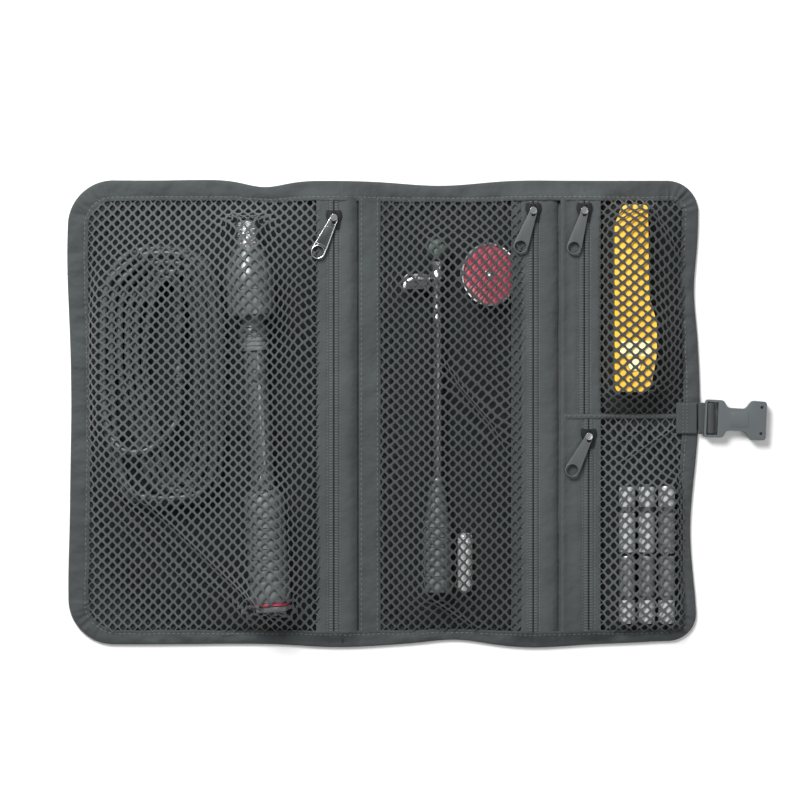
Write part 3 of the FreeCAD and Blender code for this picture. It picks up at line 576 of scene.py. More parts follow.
def plate(name, outline, low, high, material, bevel=0.3, holes=(), segments=2, sharp=40):
    """A flat part from an outline of (x, y) points and round or shaped holes in it."""
    rings = [list(outline)] + [list(hole) for hole in holes]
    points = [Vector(p) for ring in rings for p in ring]
    loops, start = [], 0
    for ring in rings:
        loops.append([start + i for i in range(len(ring))])
        start += len(ring)
    edges = [(loop[i], loop[(i + 1) % len(loop)]) for loop in loops for i in range(len(loop))]
    flat, _, faces, *_ = delaunay_2d_cdt(points, edges, [], 1, 1e-6)
    for hole in rings[1:]:
        faces = [face for face in faces
            if not inside(sum((flat[i] for i in face), Vector((0, 0))) / len(face), hole)]
    vertices = [(p.x, p.y, z) for z in (low, high) for p in flat]
    count = len(flat)
    every = [[i + count for i in face] for face in faces]
    every += [[i for i in reversed(face)] for face in faces]
    for number, loop in enumerate(loops):
        area = sum(
            points[a].x * points[b].y - points[b].x * points[a].y for a, b in zip(loop, loop[1:] + loop[:1])
        )
        ordered = loop if (area > 0) == (number == 0) else loop[::-1]
        every += [(a, b, b + count, a + count) for a, b in zip(ordered, ordered[1:] + ordered[:1])]
    made = piece(name, vertices, every, material)
    if bevel:
        modify(made, "BEVEL", width=bevel * MM, segments=segments, limit_method="ANGLE",
            angle_limit=math.radians(35))
    return apply_stack(made, sharp)


def circle(x, y, radius, sides=24):
    turn = 2 * math.pi / sides
    return [(x + radius * math.cos(i * turn), y + radius * math.sin(i * turn)) for i in range(sides)]


def rounded(points, radius, sides=4):
    """The outline with each corner replaced by a short curve."""
    made = []
    for i, corner in enumerate(points):
        before, here, after = Vector(points[i - 1]), Vector(corner), Vector(points[(i + 1) % len(points)])
        reach = min(radius, (before - here).length * 0.45, (after - here).length * 0.45)
        start = here + (before - here).normalized() * reach
        end = here + (after - here).normalized() * reach
        for s in range(sides + 1):
            t = s / sides
            made.append(tuple(start * (1 - t) ** 2 + here * 2 * t * (1 - t) + end * t * t))
    return made


def tube(name, points, radius, material, sides=3, cyclic=False):
    """A live curve with a round section through points in millimetres."""
    data = bpy.data.curves.new(name, "CURVE")
    data.dimensions = "3D"
    data.bevel_depth = radius * MM
    data.bevel_resolution = sides
    data.resolution_u = 6
    data.use_fill_caps = True
    spline = data.splines.new("NURBS")
    spline.points.add(len(points) - 1)
    for point, control in zip(points, spline.points):
        control.co = (*(c * MM for c in point), 1)
    spline.order_u = 3
    spline.use_endpoint_u = not cyclic
    spline.use_cyclic_u = cyclic
    data.materials.append(material)
    made = bpy.data.objects.new(name, data)
    bpy.context.scene.collection.objects.link(made)
    return made


def stitches(name, spots, material, long=2.3, thick=0.32):
    """Sewing thread: one small rounded bar for each (point, direction)."""
    ring = 5
    vertices, faces = [], []
    for point, direction in spots:
        start = len(vertices)
        ahead = Vector(direction).normalized()
        side = ahead.cross(Vector((0, 0, 1))).normalized()
        up = side.cross(ahead)
        vertices.append(Vector(point) - ahead * long / 2)
        for along, swell in ((-0.34, 0.85), (0, 1.0), (0.34, 0.85)):
            for i in range(ring):
                angle = 2 * math.pi * i / ring
                offset = side * math.cos(angle) + up * math.sin(angle)
                vertices.append(Vector(point) + ahead * along * long + offset * thick * swell)
        vertices.append(Vector(point) + ahead * long / 2)
        last = start + 3 * ring + 1
        for i in range(ring):
            j = (i + 1) % ring
            faces.append((start, start + 1 + j, start + 1 + i))
            for level in range(2):
                a = start + 1 + level * ring
                faces.append((a + i, a + j, a + ring + j, a + ring + i))
            faces.append((last, last - ring + i, last - ring + j))
    made = piece(name, vertices, faces, material)
    return made


# ---- the outer cloth --------------------------------------------------------------------------


def half_edge(left, pitch=2.2):
    """Points and outward directions round one half's outer edge, from the low side to the top."""
    side = -1 if left else 1
    radius = ROUND_LEFT if left else ROUND_RIGHT
    outer = EDGE_LOW.x if left else EDGE_HIGH.x
    inner = outer - side * radius
    made = []
    for x in steps(0, 1, pitch / abs(inner - SPINE_MIDDLE)):
        made.append((Vector((SPINE_MIDDLE + (inner - SPINE_MIDDLE) * x, EDGE_LOW.y)), Vector((0, -1))))
    quarter = steps(0, math.pi / 2, pitch / radius / 2)
    for angle in quarter[1:]:
        out = Vector((side * math.sin(angle), -math.cos(angle)))
        made.append((Vector((inner, EDGE_LOW.y + radius)) + out * radius, out))
    for y in steps(EDGE_LOW.y + radius, EDGE_HIGH.y - radius, pitch)[1:]:
        made.append((Vector((outer, y)), Vector((side, 0))))
    for angle in quarter[1:]:
        out = Vector((side * math.cos(angle), math.sin(angle)))
        made.append((Vector((inner, EDGE_HIGH.y - radius)) + out * radius, out))
    for x in steps(0, 1, pitch / abs(inner - SPINE_MIDDLE))[1:]:
        made.append((Vector((inner + (SPINE_MIDDLE - inner) * x, EDGE_HIGH.y)), Vector((0, 1))))
    return [(point + out * wave(point), out) for point, out in made]


BINDING_WIDTHS = {(-1, 0): 13.0, (1, 0): 10.4, (0, 1): 13.0, (0, -1): 8.8}


def binding_width(point, out):
    shares = {way: max(0.0, out.dot(Vector(way))) for way in BINDING_WIDTHS}
    width = sum(BINDING_WIDTHS[way] * share for way, share in shares.items()) / sum(shares.values())
    follows = 0.3 + 0.4 * out.y ** 2
    return (width + wave(point) * follows
        + 0.55 * ripple(point.x / 17, point.y / 17) + 0.35 * ripple(point.x / 6, point.y / 6, 4))


def binding_section(point, out, width):
    """One cross-section of the folded tape, as (distance in from the edge, height) points."""
    stitch = width - 2.4
    puff = 0.8 * ripple(point.x / 13, point.y / 13, 9)
    raised = float(lift(point.x)) * abs(out.y)
    top = [
        (0.0, 1.45), (0.3, 2.15), (1.1, 2.65), (2.6, 2.95 + puff), (width * 0.4, 3.1 + puff),
        (width * 0.6, 3.0 + puff), (stitch - 0.9, 2.85), (stitch, 2.45), (stitch + 0.8, 2.8),
        (width - 0.5, 2.85), (width, 2.55), (width - 0.1, 2.1),
    ]
    under = [(width * 0.5, 2.1), (1.3, 1.9), (0.9, 1.3), (1.4, 0.62), (width * 0.5, 0.56),
        (width - 1.4, 0.56)]
    back = [(width - 1.2, 0.3), (width - 1.5, 0.02), (width * 0.5, 0.0), (1.6, 0.0), (0.5, 0.25), (0.1, 0.8)]
    made = []
    for inward, height in top:
        crease = 1.2 * ripple(point.x / 3.6, point.y / 3.6, inward / 11) * min(1, inward / 3)
        crease += 0.6 * ripple(point.x / 12, point.y / 12, inward / 7 + 5) * min(1, inward / 3)
        corner = 6.5 * ripple(point.x / 3.0, point.y / 3.0, inward / 18) * (1 - max(abs(out.x), abs(out.y)))
        bend = float(smooth_step(width * 0.25, width, inward))
        made.append((inward, height + (crease + corner) * (height > 2.2) + raised * bend))
    for inward, height in under:
        bend = float(smooth_step(width * 0.25, width, inward)) if height > 1.2 else 0
        made.append((inward, height + raised * bend * 0.98))
    return made + back


def make_binding(left, finishes, sizes):
    edge = half_edge(left)
    name = "binding_left_wrap" if left else "binding_right_wrap"
    vertices, spots = [], []
    for point, out in edge:
        width = binding_width(point, out)
        section = binding_section(point, out, width)
        vertices += [(*(point - out * inward), height) for inward, height in section]
        seat = point - out * section[7][0]
        spots.append(Vector((*seat, section[7][1] + 0.12)))
    count = len(section)
    faces = []
    for ring in range(len(edge) - 1):
        for i in range(count):
            j = (i + 1) % count
            quad = (ring * count + i, ring * count + j, (ring + 1) * count + j, (ring + 1) * count + i)
            faces.append(quad if left else quad[::-1])
    ends = list(range(count)), list(range(len(vertices) - count, len(vertices)))
    faces += [ends[0][::-1] if left else ends[0], ends[1] if left else ends[1][::-1]]
    made = piece(name, vertices, faces, finishes["binding"])
    made.data.set_sharp_from_angle(angle=math.radians(60))
    nodes = ("binding_left", "binding_spine") if left else ("binding_right",)
    (over_left if left else over_right)(made, "nylon_binding", *nodes)
    thread = stitches(f"{name}_thread", along(spots, sizes.stitch_pitch / MM), finishes["thread"])
    (over_left if left else over_right)(thread, "nylon_binding")


def along(line, pitch):
    """(point, direction) every pitch millimetres along a line of points."""
    made, left_over = [], pitch / 2
    for start, end in zip(line, line[1:]):
        length = (end - start).length
        while left_over < length:
            made.append((start.lerp(end, left_over / length), end - start))
            left_over += pitch
        left_over -= length
    return made


def channel(x, y):
    """The raised channel behind the left cover that the closing tail folds into."""
    low, high = span("tail_strap", "male_buckle", "tail_anchor")
    across = 1 - float(smooth_step(high.y + 1.5, high.y + 5, abs(y)))
    along_x = (float(smooth_step(low.x - 4, low.x - 0.5, x))
        * (1 - float(smooth_step(high.x + 1.5, high.x + 5, x))))
    return 5.9 * across * along_x


def make_cover(left, finishes):
    """One cloth cover, filled inside the edge by a mesh of even triangles."""
    ring = [point - out * 3.4 for point, out in half_edge(left, 4.0)]
    low_x, high_x = min(p.x for p in ring), max(p.x for p in ring)
    filling = []
    for x in steps(low_x, high_x, 4.0)[1:-1]:
        for y in steps(EDGE_LOW.y, EDGE_HIGH.y, 4.2):
            corner_x = (EDGE_LOW.x + ROUND_LEFT) if left else (EDGE_HIGH.x - ROUND_RIGHT)
            radius = ROUND_LEFT if left else ROUND_RIGHT
            corner_y = EDGE_HIGH.y - radius
            past = (corner_x - x) if left else (x - corner_x)
            beyond = abs(y) - corner_y
            if past > 0 and beyond > 0 and math.hypot(past, beyond) > radius - 12:
                continue
            if abs(y) > EDGE_HIGH.y - 11 or x < EDGE_LOW.x + 9 or x > EDGE_HIGH.x - 11:
                continue
            filling.append(Vector((x, y)))
    points = ring + filling
    loop = list(range(len(ring)))
    flat, _, faces, *_ = delaunay_2d_cdt(points, [], [loop], 1, 1e-4)
    vertices = []
    for p in flat:
        soft = 0.22 * ripple(p.x / 26, p.y / 26, 2)
        vertices.append((p.x, p.y, 1.45 + soft * 0.5 + channel(p.x, p.y)))
    # The lining's finish is the cloth darkened to 0.28: painted shade under the nets.
    made = piece("cover_cloth_left" if left else "cover_cloth_right", vertices, faces, finishes["cloth"])
    normal = Vector(made.data.polygons[0].normal)
    modify(made, "SOLIDIFY", thickness=0.85 * MM, offset=-1 if normal.z > 0 else 1)
    apply_stack(made, 60)
    if left:
        over_left(made, "nylon", "cover_left", "cover_spine")
    else:
        over_right(made, "nylon", "cover_right")
    return made


def make_strips(finishes, sizes):
    """The sewn strips: beside the left zip, between the zips and between the right pockets."""
    low, high = span("seam_strip_left")
    columns = steps(low.x + 0.8, CREASE_RIGHT + 1.4, 1.2)
    rows = steps(EDGE_LOW.y + 7.4, EDGE_HIGH.y - 11.6, 4)

    def strip_height(x, y):
        edge = min(x - columns[0], columns[-1] - x)
        soft = 0.7 * ripple(x / 7, y / 13, 3)
        end = float(lift(x)) * float(smooth_step(118, 134, abs(y + 2)))
        return 2.5 + 0.7 * float(smooth_step(0, 1.6, edge)) + soft + end * 0.8

    made = grid("seam_strip_cloth", columns, rows, strip_height, finishes["binding"], 0.7)
    over_right(made, "nylon_binding", "seam_strip_left")
    spots = []
    for x in (columns[0] + 1.7, columns[-1] - 2.0):
        line = [Vector((x, y, strip_height(x, y) + 0.1)) for y in rows]
        spots += along(line, sizes.stitch_pitch / MM)
    over_right(stitches("seam_strip_thread", spots, finishes["thread"]), "nylon_binding")

    low, high = span("seam_strip_right")
    columns = [low.x - 0.9, low.x - 0.6, low.x, (low.x + high.x) / 2, high.x, high.x + 0.3]
    crown = [2.4, 3.4, 4.2, 4.4, 4.0, 3.0]

    def fold_height(x, y):
        return float(np.interp(x, columns, crown)) + 0.3 * ripple(x / 7, y / 13, 7)

    made = grid("seam_fold", columns, rows, fold_height, finishes["tape"], 0.8)
    settle(made, "right_half", "nylon_binding", "seam_strip_right")

    low, high = span("pocket_divider")
    centre = (low.y + high.y) / 2
    columns = steps(span("zip_tape_upper")[0].x, EDGE_HIGH.x - 8, 2.5)
    rows = [centre - 1.5, centre - 0.9, centre, centre + 0.9, centre + 1.5]

    def divider_height(x, y):
        return 3.2 + float(lift(x)) - 0.25 * abs(y - centre) + 0.5 * ripple(x / 8, y / 5)

    made = grid("pocket_divider_cloth", columns, rows, divider_height, finishes["tape"], 0.6)
    settle(made, "right_half", "nylon_binding", "pocket_divider")
    line = [Vector((x, centre, divider_height(x, centre) + 0.1)) for x in columns]
    thread = stitches("pocket_divider_thread", along(line, sizes.stitch_pitch / MM), finishes["thread"])
    settle(thread, "right_half", "nylon_binding")


# ---- zips -------------------------------------------------------------------------------------


def chain_at(name):
    return middle(f"zip_coil_{name}").x


def tape_height(name):
    """The height of one zip's tape over x and y."""
    low, high = span(f"zip_tape_{name}")
    chain = chain_at(name)
    left_edge = {"left": 7.2, "middle": 7.2, "upper": 8.3, "lower": 8.3}[name]
    right_edge, shoulder = {"left": (2.0, 5.4), "middle": (3.2, 5.6), "upper": (7.3, 7.6),
        "lower": (7.3, 7.6)}[name]
    places = [low.x - 1, low.x + 0.8, low.x + 3.5, chain - 4.4, chain - 3.5, chain - 3, chain - 0.5, chain]
    places += [chain + 0.5, chain + 3, chain + 3.5, chain + 4.4, high.x - 4.5, high.x - 1.6, high.x + 0.3]
    heights = [left_edge, left_edge + 0.5, 7.3, 7.5, 6.9, 7.5, 7.62, 6.6, 7.62, 7.5, 6.9, 7.5, 7.4,
        shoulder, right_edge]

    def height(x, y):
        away = float(smooth_step(3.5, 8, abs(x - chain)))
        soft = 0.9 * ripple(x / 11, y / 19, 5) * away + 0.25 * ripple(x / 4, y / 5, 6) * away
        return float(np.interp(x, places, heights)) + min(soft, 0.45)

    return height, places


def make_zip(name, finishes, sizes):
    """A zip's two tapes, the ribs of its coil and its rows of stitches."""
    low, high = span(f"zip_tape_{name}")
    height, places = tape_height(name)
    columns = sorted(places + [(a + b) / 2 for a, b in zip(places, places[1:]) if b - a > 2.4])
    top = high.y + 2.2 if name in ("left", "middle", "upper") else high.y + 1.4
    bottom = low.y - 1.4
    rows = steps(bottom, top, 3.2)
    tape = grid(f"zip_cloth_{name}", columns, rows, height, finishes["tape"], 0.45)
    chain = chain_at(name)
    vertices, faces = [], []
    for y in steps(bottom + 1, top - 1, sizes.rib_pitch / MM):
        for side in (-1, 1):
            start = len(vertices)
            for across, up in ((0.35, 0.0), (0.6, 0.45), (2.4, 0.42), (2.85, 0.0)):
                x = chain + side * across
                for half in (-0.42, 0, 0.42):
                    rise = up if half == 0 else up * 0.35
                    vertices.append((x, y + half, height(x, y) + rise - 0.05))
            for level in range(3):
                for i in range(2):
                    a = start + level * 3 + i
                    quad = (a, a + 1, a + 4, a + 3)
                    faces.append(quad if side < 0 else quad[::-1])
    ribs = piece(f"zip_ribs_{name}", vertices, faces, finishes["ribs"])
    modify(ribs, "SOLIDIFY", thickness=0.25 * MM, offset=-1)
    apply_stack(ribs)
    # A near-black strip along the coil's centre line: painted shade between the two coils.
    gap = grid(f"zip_gap_{name}", [chain - 0.3, chain, chain + 0.3], rows,
        lambda x, y: height(chain + 0.5, y) + 0.12, finishes["gap"], 0.3)
    spots = []
    for x in (chain - 3.9, chain + 3.9):
        spots += along([Vector((x, y, height(x, y) + 0.05)) for y in rows], 2.2)
    thread = stitches(f"zip_thread_{name}", spots, finishes["thread"], long=1.6, thick=0.22)
    parts = ((tape, "zip_tape", (f"zip_tape_{name}",)), (ribs, "zip_coil", (f"zip_coil_{name}",)),
        (thread, "zip_tape", ()), (gap, "zip_coil", ()))
    for made, slot, nodes in parts:
        if name == "left":
            over_left(made, slot, *nodes)
        else:
            settle(made, "right_half", slot, *nodes)


def make_slider(name, finishes):
    """A slider: the shoe under the tape, the shield-shaped plate over it and the crown."""
    low, high = span(f"zip_slider_{name}")
    x, y = (low.x + high.x) / 2, (low.y + high.y) / 2
    half, long = (high.x - low.x) / 2, (high.y - low.y) / 2
    shield = [
        (x - half * 0.62, y - long), (x + half * 0.62, y - long), (x + half * 0.78, y - long * 0.1),
        (x + half, y + long * 0.35), (x + half * 0.86, y + long), (x + half * 0.3, y + long * 0.86),
        (x - half * 0.3, y + long * 0.86), (x - half * 0.86, y + long), (x - half, y + long * 0.35),
        (x - half * 0.78, y - long * 0.1),
    ]
    body = finishes["slider"]
    shoe = plate("shoe", rounded(shield, 1.4), low.z, low.z + 0.85, body, 0.25)
    top = plate("shield", rounded(shield, 1.6), 7.75, 8.75, body, 0.4, segments=3)
    post = plate(
        "post", rounded([(x - 1.1, y + 1.6), (x + 1.1, y + 1.6), (x + 0.6, y + 5), (x - 0.6, y + 5)], 0.5),
        low.z + 0.3, 8.2, body, 0.1)
    ridge = plate(
        "ridge", rounded([(x - 0.8, y - 1), (x + 0.8, y - 1), (x + 1.3, y + 5.2), (x - 1.3, y + 5.2)], 0.7),
        8.6, 9.5, body, 0.35, segments=3)
    arch = [(x, y + 4.4, 8.5), (x, y + 4.3, 10.4), (x, y + 2.6, 10.95), (x, y - 0.8, 10.95),
        (x, y - 2.6, 10.4), (x, y - 2.7, 8.5)]
    crown = apply_curve(tube("crown", arch, 0.5, body, 4))
    for vertex in crown.data.vertices:
        vertex.co.x = x * MM + (vertex.co.x - x * MM) * 2.4
    stud = plate("stud", circle(x, y + 1.1, 2.3, 28), 10.1, 11.6, finishes["crown"], 1.1, segments=6)
    made = joined(f"slider_{name}_body", [shoe, top, post, ridge, crown, stud])
    made.data.set_sharp_from_angle(angle=math.radians(45))
    settle(made, f"slider_{name}", "zip_metal", f"zip_slider_{name}")


def apply_curve(made):
    """The curve's tube as a mesh object of the same name."""
    graph = bpy.context.evaluated_depsgraph_get()
    mesh = bpy.data.meshes.new_from_object(made.evaluated_get(graph))
    name = made.name
    bpy.data.objects.remove(made)
    fresh = bpy.data.objects.new(name, mesh)
    bpy.context.scene.collection.objects.link(fresh)
    mesh.shade_smooth()
    return fresh


PULL_SKEWS = {"left": 25.9, "middle": 20.6, "upper": 16.7, "lower": 27.3}


def make_pull(name, finishes):
    """A flat pull that widens to a round end with a finger hole, lying skewed from its pivot."""
    low, high = span(f"zip_pull_{name}")
    slider = middle(f"zip_slider_{name}")
    pivot = Vector((slider.x, high.y - 2.2, 0))
    bright = name == "left"
    narrow, wide, hole_at, end = 2.5, 4.75, 23.2, 27.9
    shape = [(-narrow, 1.6), (-narrow - 0.25, -3), (-wide, -hole_at + 1.5)]
    turn = math.pi / 10
    shape += [(wide * math.cos(math.pi + i * turn),
        -hole_at + (end - hole_at) * math.sin(math.pi + i * turn)) for i in range(1, 10)]
    shape += [(wide, -hole_at + 1.5), (narrow + 0.25, -3), (narrow, 1.6)]
    slot = rounded([(-1.35, -0.9), (1.35, -0.9), (1.35, 0.7), (-1.35, 0.7)], 0.5)
    hole = circle(0, -hole_at, 3.55)
    finish = finishes["pull_bright" if bright else "pull"]
    blank = plate("blank", shape[::-1], low.z, high.z - (0.35 if bright else 0), finish, 0.3,
        [hole, slot], 3)
    parts = [blank]
    rim_finish = finishes["pull_rim" if bright else "pull"]
    lip = circle(0, -hole_at, 4.05, 28)
    parts.append(apply_curve(
        tube("lip", [(px, py, high.z - 0.12) for px, py in lip], 0.34, rim_finish, 3, True)))
    if bright:
        inset = [(px * 0.9, py * 0.985 - 0.1, high.z - 0.25) for px, py in shape]
        parts.append(apply_curve(tube("rim", inset, 0.42, rim_finish, 3, True)))
        for at, width in ((-6.0, 3.0), (-18.2, 3.9)):
            bow = [(-width, at - 0.6, high.z - 0.25), (0, at + 1.1, high.z - 0.2),
                (width, at - 0.6, high.z - 0.25)]
            parts.append(apply_curve(tube("bow", bow, 0.3, rim_finish, 3)))
    made = joined(f"pull_{name}_tab", parts)
    made.data.set_sharp_from_angle(angle=math.radians(45))
    skew = Matrix.Rotation(math.radians(-PULL_SKEWS[name]), 4, "Z")
    place(made, Matrix.Translation(pivot) @ skew)
    settle(made, f"pull_{name}", "zip_metal_bright" if bright else "zip_metal", f"zip_pull_{name}")


# ---- nets -------------------------------------------------------------------------------------


def tops_under(objects, xs, ys, floor):
    """The height of what lies under each grid point, never lower than the floor."""
    graph = bpy.context.evaluated_depsgraph_get()
    trees = []
    for item in objects:
        mesh = bpy.data.meshes.new_from_object(item.evaluated_get(graph))
        corners = [tuple(v.co / MM) for v in mesh.vertices]
        trees.append(BVHTree.FromPolygons(corners, [tuple(p.vertices) for p in mesh.polygons]))
        bpy.data.meshes.remove(mesh)
    tops = np.full((len(ys), len(xs)), floor, float)
    for row, y in enumerate(ys):
        for column, x in enumerate(xs):
            for tree in trees:
                hit = tree.ray_cast(Vector((x, y, 80)), Vector((0, 0, -1)))[0]
                if hit is not None:
                    tops[row, column] = max(tops[row, column], hit.z)
    return tops


def widest(field):
    """Each value raised to the highest of the nine round it."""
    padded = np.pad(field, 1, mode="edge")
    rows, columns = field.shape
    shifts = [padded[r : r + rows, c : c + columns] for r in range(3) for c in range(3)]
    return np.max(shifts, axis=0)


def relax(tops, edge, held, sag, rounds=900):
    """A net held at its edge and pulled tight over what it covers, with a little slack."""
    height = np.where(held, edge, np.maximum(tops, edge))
    black = (np.add.outer(np.arange(tops.shape[0] - 2), np.arange(tops.shape[1] - 2)) % 2) == 0
    for _ in range(rounds):
        for colour in (black, ~black):
            around = (height[2:, 1:-1] + height[:-2, 1:-1] + height[1:-1, 2:] + height[1:-1, :-2]) / 4 - sag
            inner = height[1:-1, 1:-1]
            wanted = np.maximum(inner + 1.6 * (around - inner), tops[1:-1, 1:-1])
            free = colour & ~held[1:-1, 1:-1]
            inner[free] = wanted[free]
    return height


def sampled(field, xs, ys, x, y):
    """The field at points between its grid points."""
    column = np.clip((x - xs[0]) / (xs[1] - xs[0]), 0, len(xs) - 1.001)
    row = np.clip((y - ys[0]) / (ys[1] - ys[0]), 0, len(ys) - 1.001)
    c, r = column.astype(int), row.astype(int)
    s, t = column - c, row - r
    low = field[r, c] * (1 - s) + field[r, c + 1] * s
    high = field[r + 1, c] * (1 - s) + field[r + 1, c + 1] * s
    return low * (1 - t) + high * t


def spread_net(height, xs, ys, x, y, rounds=160):
    """Let the net's knots slide over its surface until the yarn pulls evenly."""
    slope_y, slope_x = np.gradient(height, ys[1] - ys[0], xs[1] - xs[0])
    for _ in range(rounds):
        z = sampled(height, xs, ys, x, y)
        down = np.clip(sampled(slope_x, xs, ys, x, y)[1:-1, 1:-1], -1.3, 1.3)
        along_y = np.clip(sampled(slope_y, xs, ys, x, y)[1:-1, 1:-1], -1.3, 1.3)
        pulls = []
        for values in (x, y, z):
            around = values[2:, 1:-1] + values[:-2, 1:-1] + values[1:-1, 2:] + values[1:-1, :-2]
            pulls.append(around / 4 - values[1:-1, 1:-1])
        x[1:-1, 1:-1] += 0.8 * (pulls[0] + down * pulls[2]) / (1 + down**2)
        y[1:-1, 1:-1] += 0.8 * (pulls[1] + along_y * pulls[2]) / (1 + along_y**2)
    return x, y


NET_SHARE = 0.5


class Net:
    """One pocket's net: where it is held, what it covers and how it is pulled."""

    def __init__(self, name, low, high, covers, folds=(), pulls=(), sag=0.006, hem=0.0, finish="net"):
        self.name = name
        self.low = low
        self.high = high
        self.covers = covers
        self.folds = folds
        self.pulls = pulls
        self.sag = sag
        self.hem = hem
        self.finish = finish


def creased(x, y, folds):
    """The knots gathered into sharp creases, one crease after another, and how far each knot rises."""
    rise = np.zeros_like(x)
    for start, end, tall, wide in folds:
        way = np.array(end, float) - np.array(start, float)
        length = np.hypot(*way)
        way /= length
        along_it = (x - start[0]) * way[0] + (y - start[1]) * way[1]
        off = -(x - start[0]) * way[1] + (y - start[1]) * way[0]
        fade = smooth_step(0, length * 0.15, along_it) * (1 - smooth_step(length * 0.85, length, along_it))
        rise += tall * np.exp(-((off / (wide * 0.4)) ** 2)) * fade
        gather = -0.72 * off * np.exp(-((off / wide) ** 2)) * fade
        x, y = x - way[1] * gather, y + way[0] * gather
    return x, y, rise


def under_binding(xs, ys):
    """Where the edge binding holds the net down."""
    right = np.array([EDGE_HIGH.x + wave(Vector((EDGE_HIGH.x, y))) for y in ys])
    width = np.array([binding_width(Vector((edge, y)), Vector((1, 0))) for edge, y in zip(right, ys)])
    return xs[None, :] > (right - width)[:, None] + 1.8


def make_net(net, finishes, sizes):
    """Drape the net and knit it: a round-cornered hole in each lozenge of yarn."""
    (x0, y0), (x1, y1) = net.low, net.high
    pitch = 2.2
    xs = np.linspace(x0, x1, round((x1 - x0) / pitch) + 1)
    ys = np.linspace(y0, y1, round((y1 - y0) / pitch) + 1)
    edge = GROUND + lift(np.meshgrid(xs, ys)[0])
    tops = widest(tops_under([bpy.data.objects[name] for name in net.covers], xs, ys, GROUND - 0.3)) + 0.75
    held = under_binding(xs, ys)
    held[[0, -1], :] = held[:, [0, -1]] = True
    height = relax(tops, edge, held, net.sag)
    half_x = sizes.hole_wide / MM / 2
    half_y = sizes.hole_tall / MM / 2
    columns, rows = round((x1 - x0) / half_x), round((y1 - y0) / half_y)
    u, v = np.meshgrid(np.linspace(x0, x1, columns + 1), np.linspace(y0, y1, rows + 1))
    x, y = spread_net(height, xs, ys, u.copy(), v.copy())
    calm = smooth_step(4, 26, np.minimum(v - y0, y1 - v))
    x, y = u + (x - u) * calm, v + (y - v) * calm
    for (px, py), (dx, dy), wide in net.pulls:
        near = np.exp(-(((x - px) / wide[0]) ** 2) - ((y - py) / wide[1]) ** 2)
        x, y = x + dx * near, y + dy * near
    x, y, rise = creased(x, y, net.folds)
    wobble = np.array([[ripple(a / 13, b / 13, 1) for a, b in zip(*pair)] for pair in zip(x, y)])
    inner = np.minimum.reduce([x - x0, x1 - x, y - y0, y1 - y])
    z = sampled(height, xs, ys, x, y) + (rise + 0.35 * (wobble + 0.5)) * smooth_step(0, 10, inner)
    ui, vi = np.arange(columns + 1, dtype=float), np.arange(rows + 1, dtype=float)

    def at(a, b):
        return np.stack([sampled(field, ui, vi, a, b) for field in (x, y, z)], axis=-1)

    holes = np.array([(c, r) for r in range(1, rows) for c in range(1, columns) if (c + r) % 2 == 0], float)
    knots = (rows + 1) * (columns + 1)
    knot_c, knot_r = np.meshgrid(ui, vi)
    mid_c, mid_r = np.meshgrid(ui[:-1] + 0.5, vi[:-1] + 0.5)
    wide, tall = sizes.hole_open_wide / sizes.hole_wide, sizes.hole_open_tall / sizes.hole_tall
    side, end = wide * 0.62, tall * 0.58
    ring = [(wide, 0), (side, end), (0, tall), (-side, end), (-wide, 0), (-side, -end), (0, -tall),
        (side, -end)]
    ring_points = [at(holes[:, 0] + dx, holes[:, 1] + dy) for dx, dy in ring]
    proud = np.array([0, 0, 0.3])
    vertices = np.concatenate(
        [at(knot_c.ravel(), knot_r.ravel()) + proud, at(mid_c.ravel(), mid_r.ravel()) + proud * 1.4]
        + ring_points
    )
    faces = []
    around = [(1, 0), (0.5, 0.5), (0, 1), (-0.5, 0.5), (-1, 0), (-0.5, -0.5), (0, -1), (0.5, -0.5)]
    first_ring = knots + rows * columns
    for number, (c, r) in enumerate(holes.astype(int)):
        border = []
        for dx, dy in around:
            if dx in (0.5, -0.5):
                border.append(knots + int(r + dy - 0.5) * columns + int(c + dx - 0.5))
            else:
                border.append(int(r + dy) * (columns + 1) + int(c + dx))
        inner_ring = [first_ring + k * len(holes) + number for k in range(8)]
        for k in range(8):
            n = (k + 1) % 8
            faces.append((border[k], border[n], inner_ring[n], inner_ring[k]))
    used = np.unique(np.array(faces))
    renumber = np.full(len(vertices), -1)
    renumber[used] = np.arange(len(used))
    faces = renumber[np.array(faces)].tolist()
    made = piece(f"net_{net.name}", vertices[used].tolist(), faces, finishes[net.finish])
    modify(made, "SOLIDIFY", thickness=sizes.yarn, offset=0)
    apply_stack(made, 70)
    if net.hem:
        def hem_height(hem_x, hem_y):
            return float(sampled(height, xs, ys, np.float64(hem_x), np.float64(hem_y))) - 0.9

        hem = grid(f"net_hem_{net.name}", steps(x1 - net.hem, x1 - 0.5, 1.4), steps(y0 + 1, y1 - 1, 3.0),
            hem_height, finishes["tape"], 0.35)
        settle(hem, "right_half", "net")
    knot = np.stack([x, y, z], axis=-1)
    across = np.linalg.norm(np.diff(knot, axis=1), axis=-1).sum(axis=1).mean()
    lengthwise = np.linalg.norm(np.diff(knot, axis=0), axis=-1).sum(axis=0).mean()
    return made, (across * MM, lengthwise * MM)


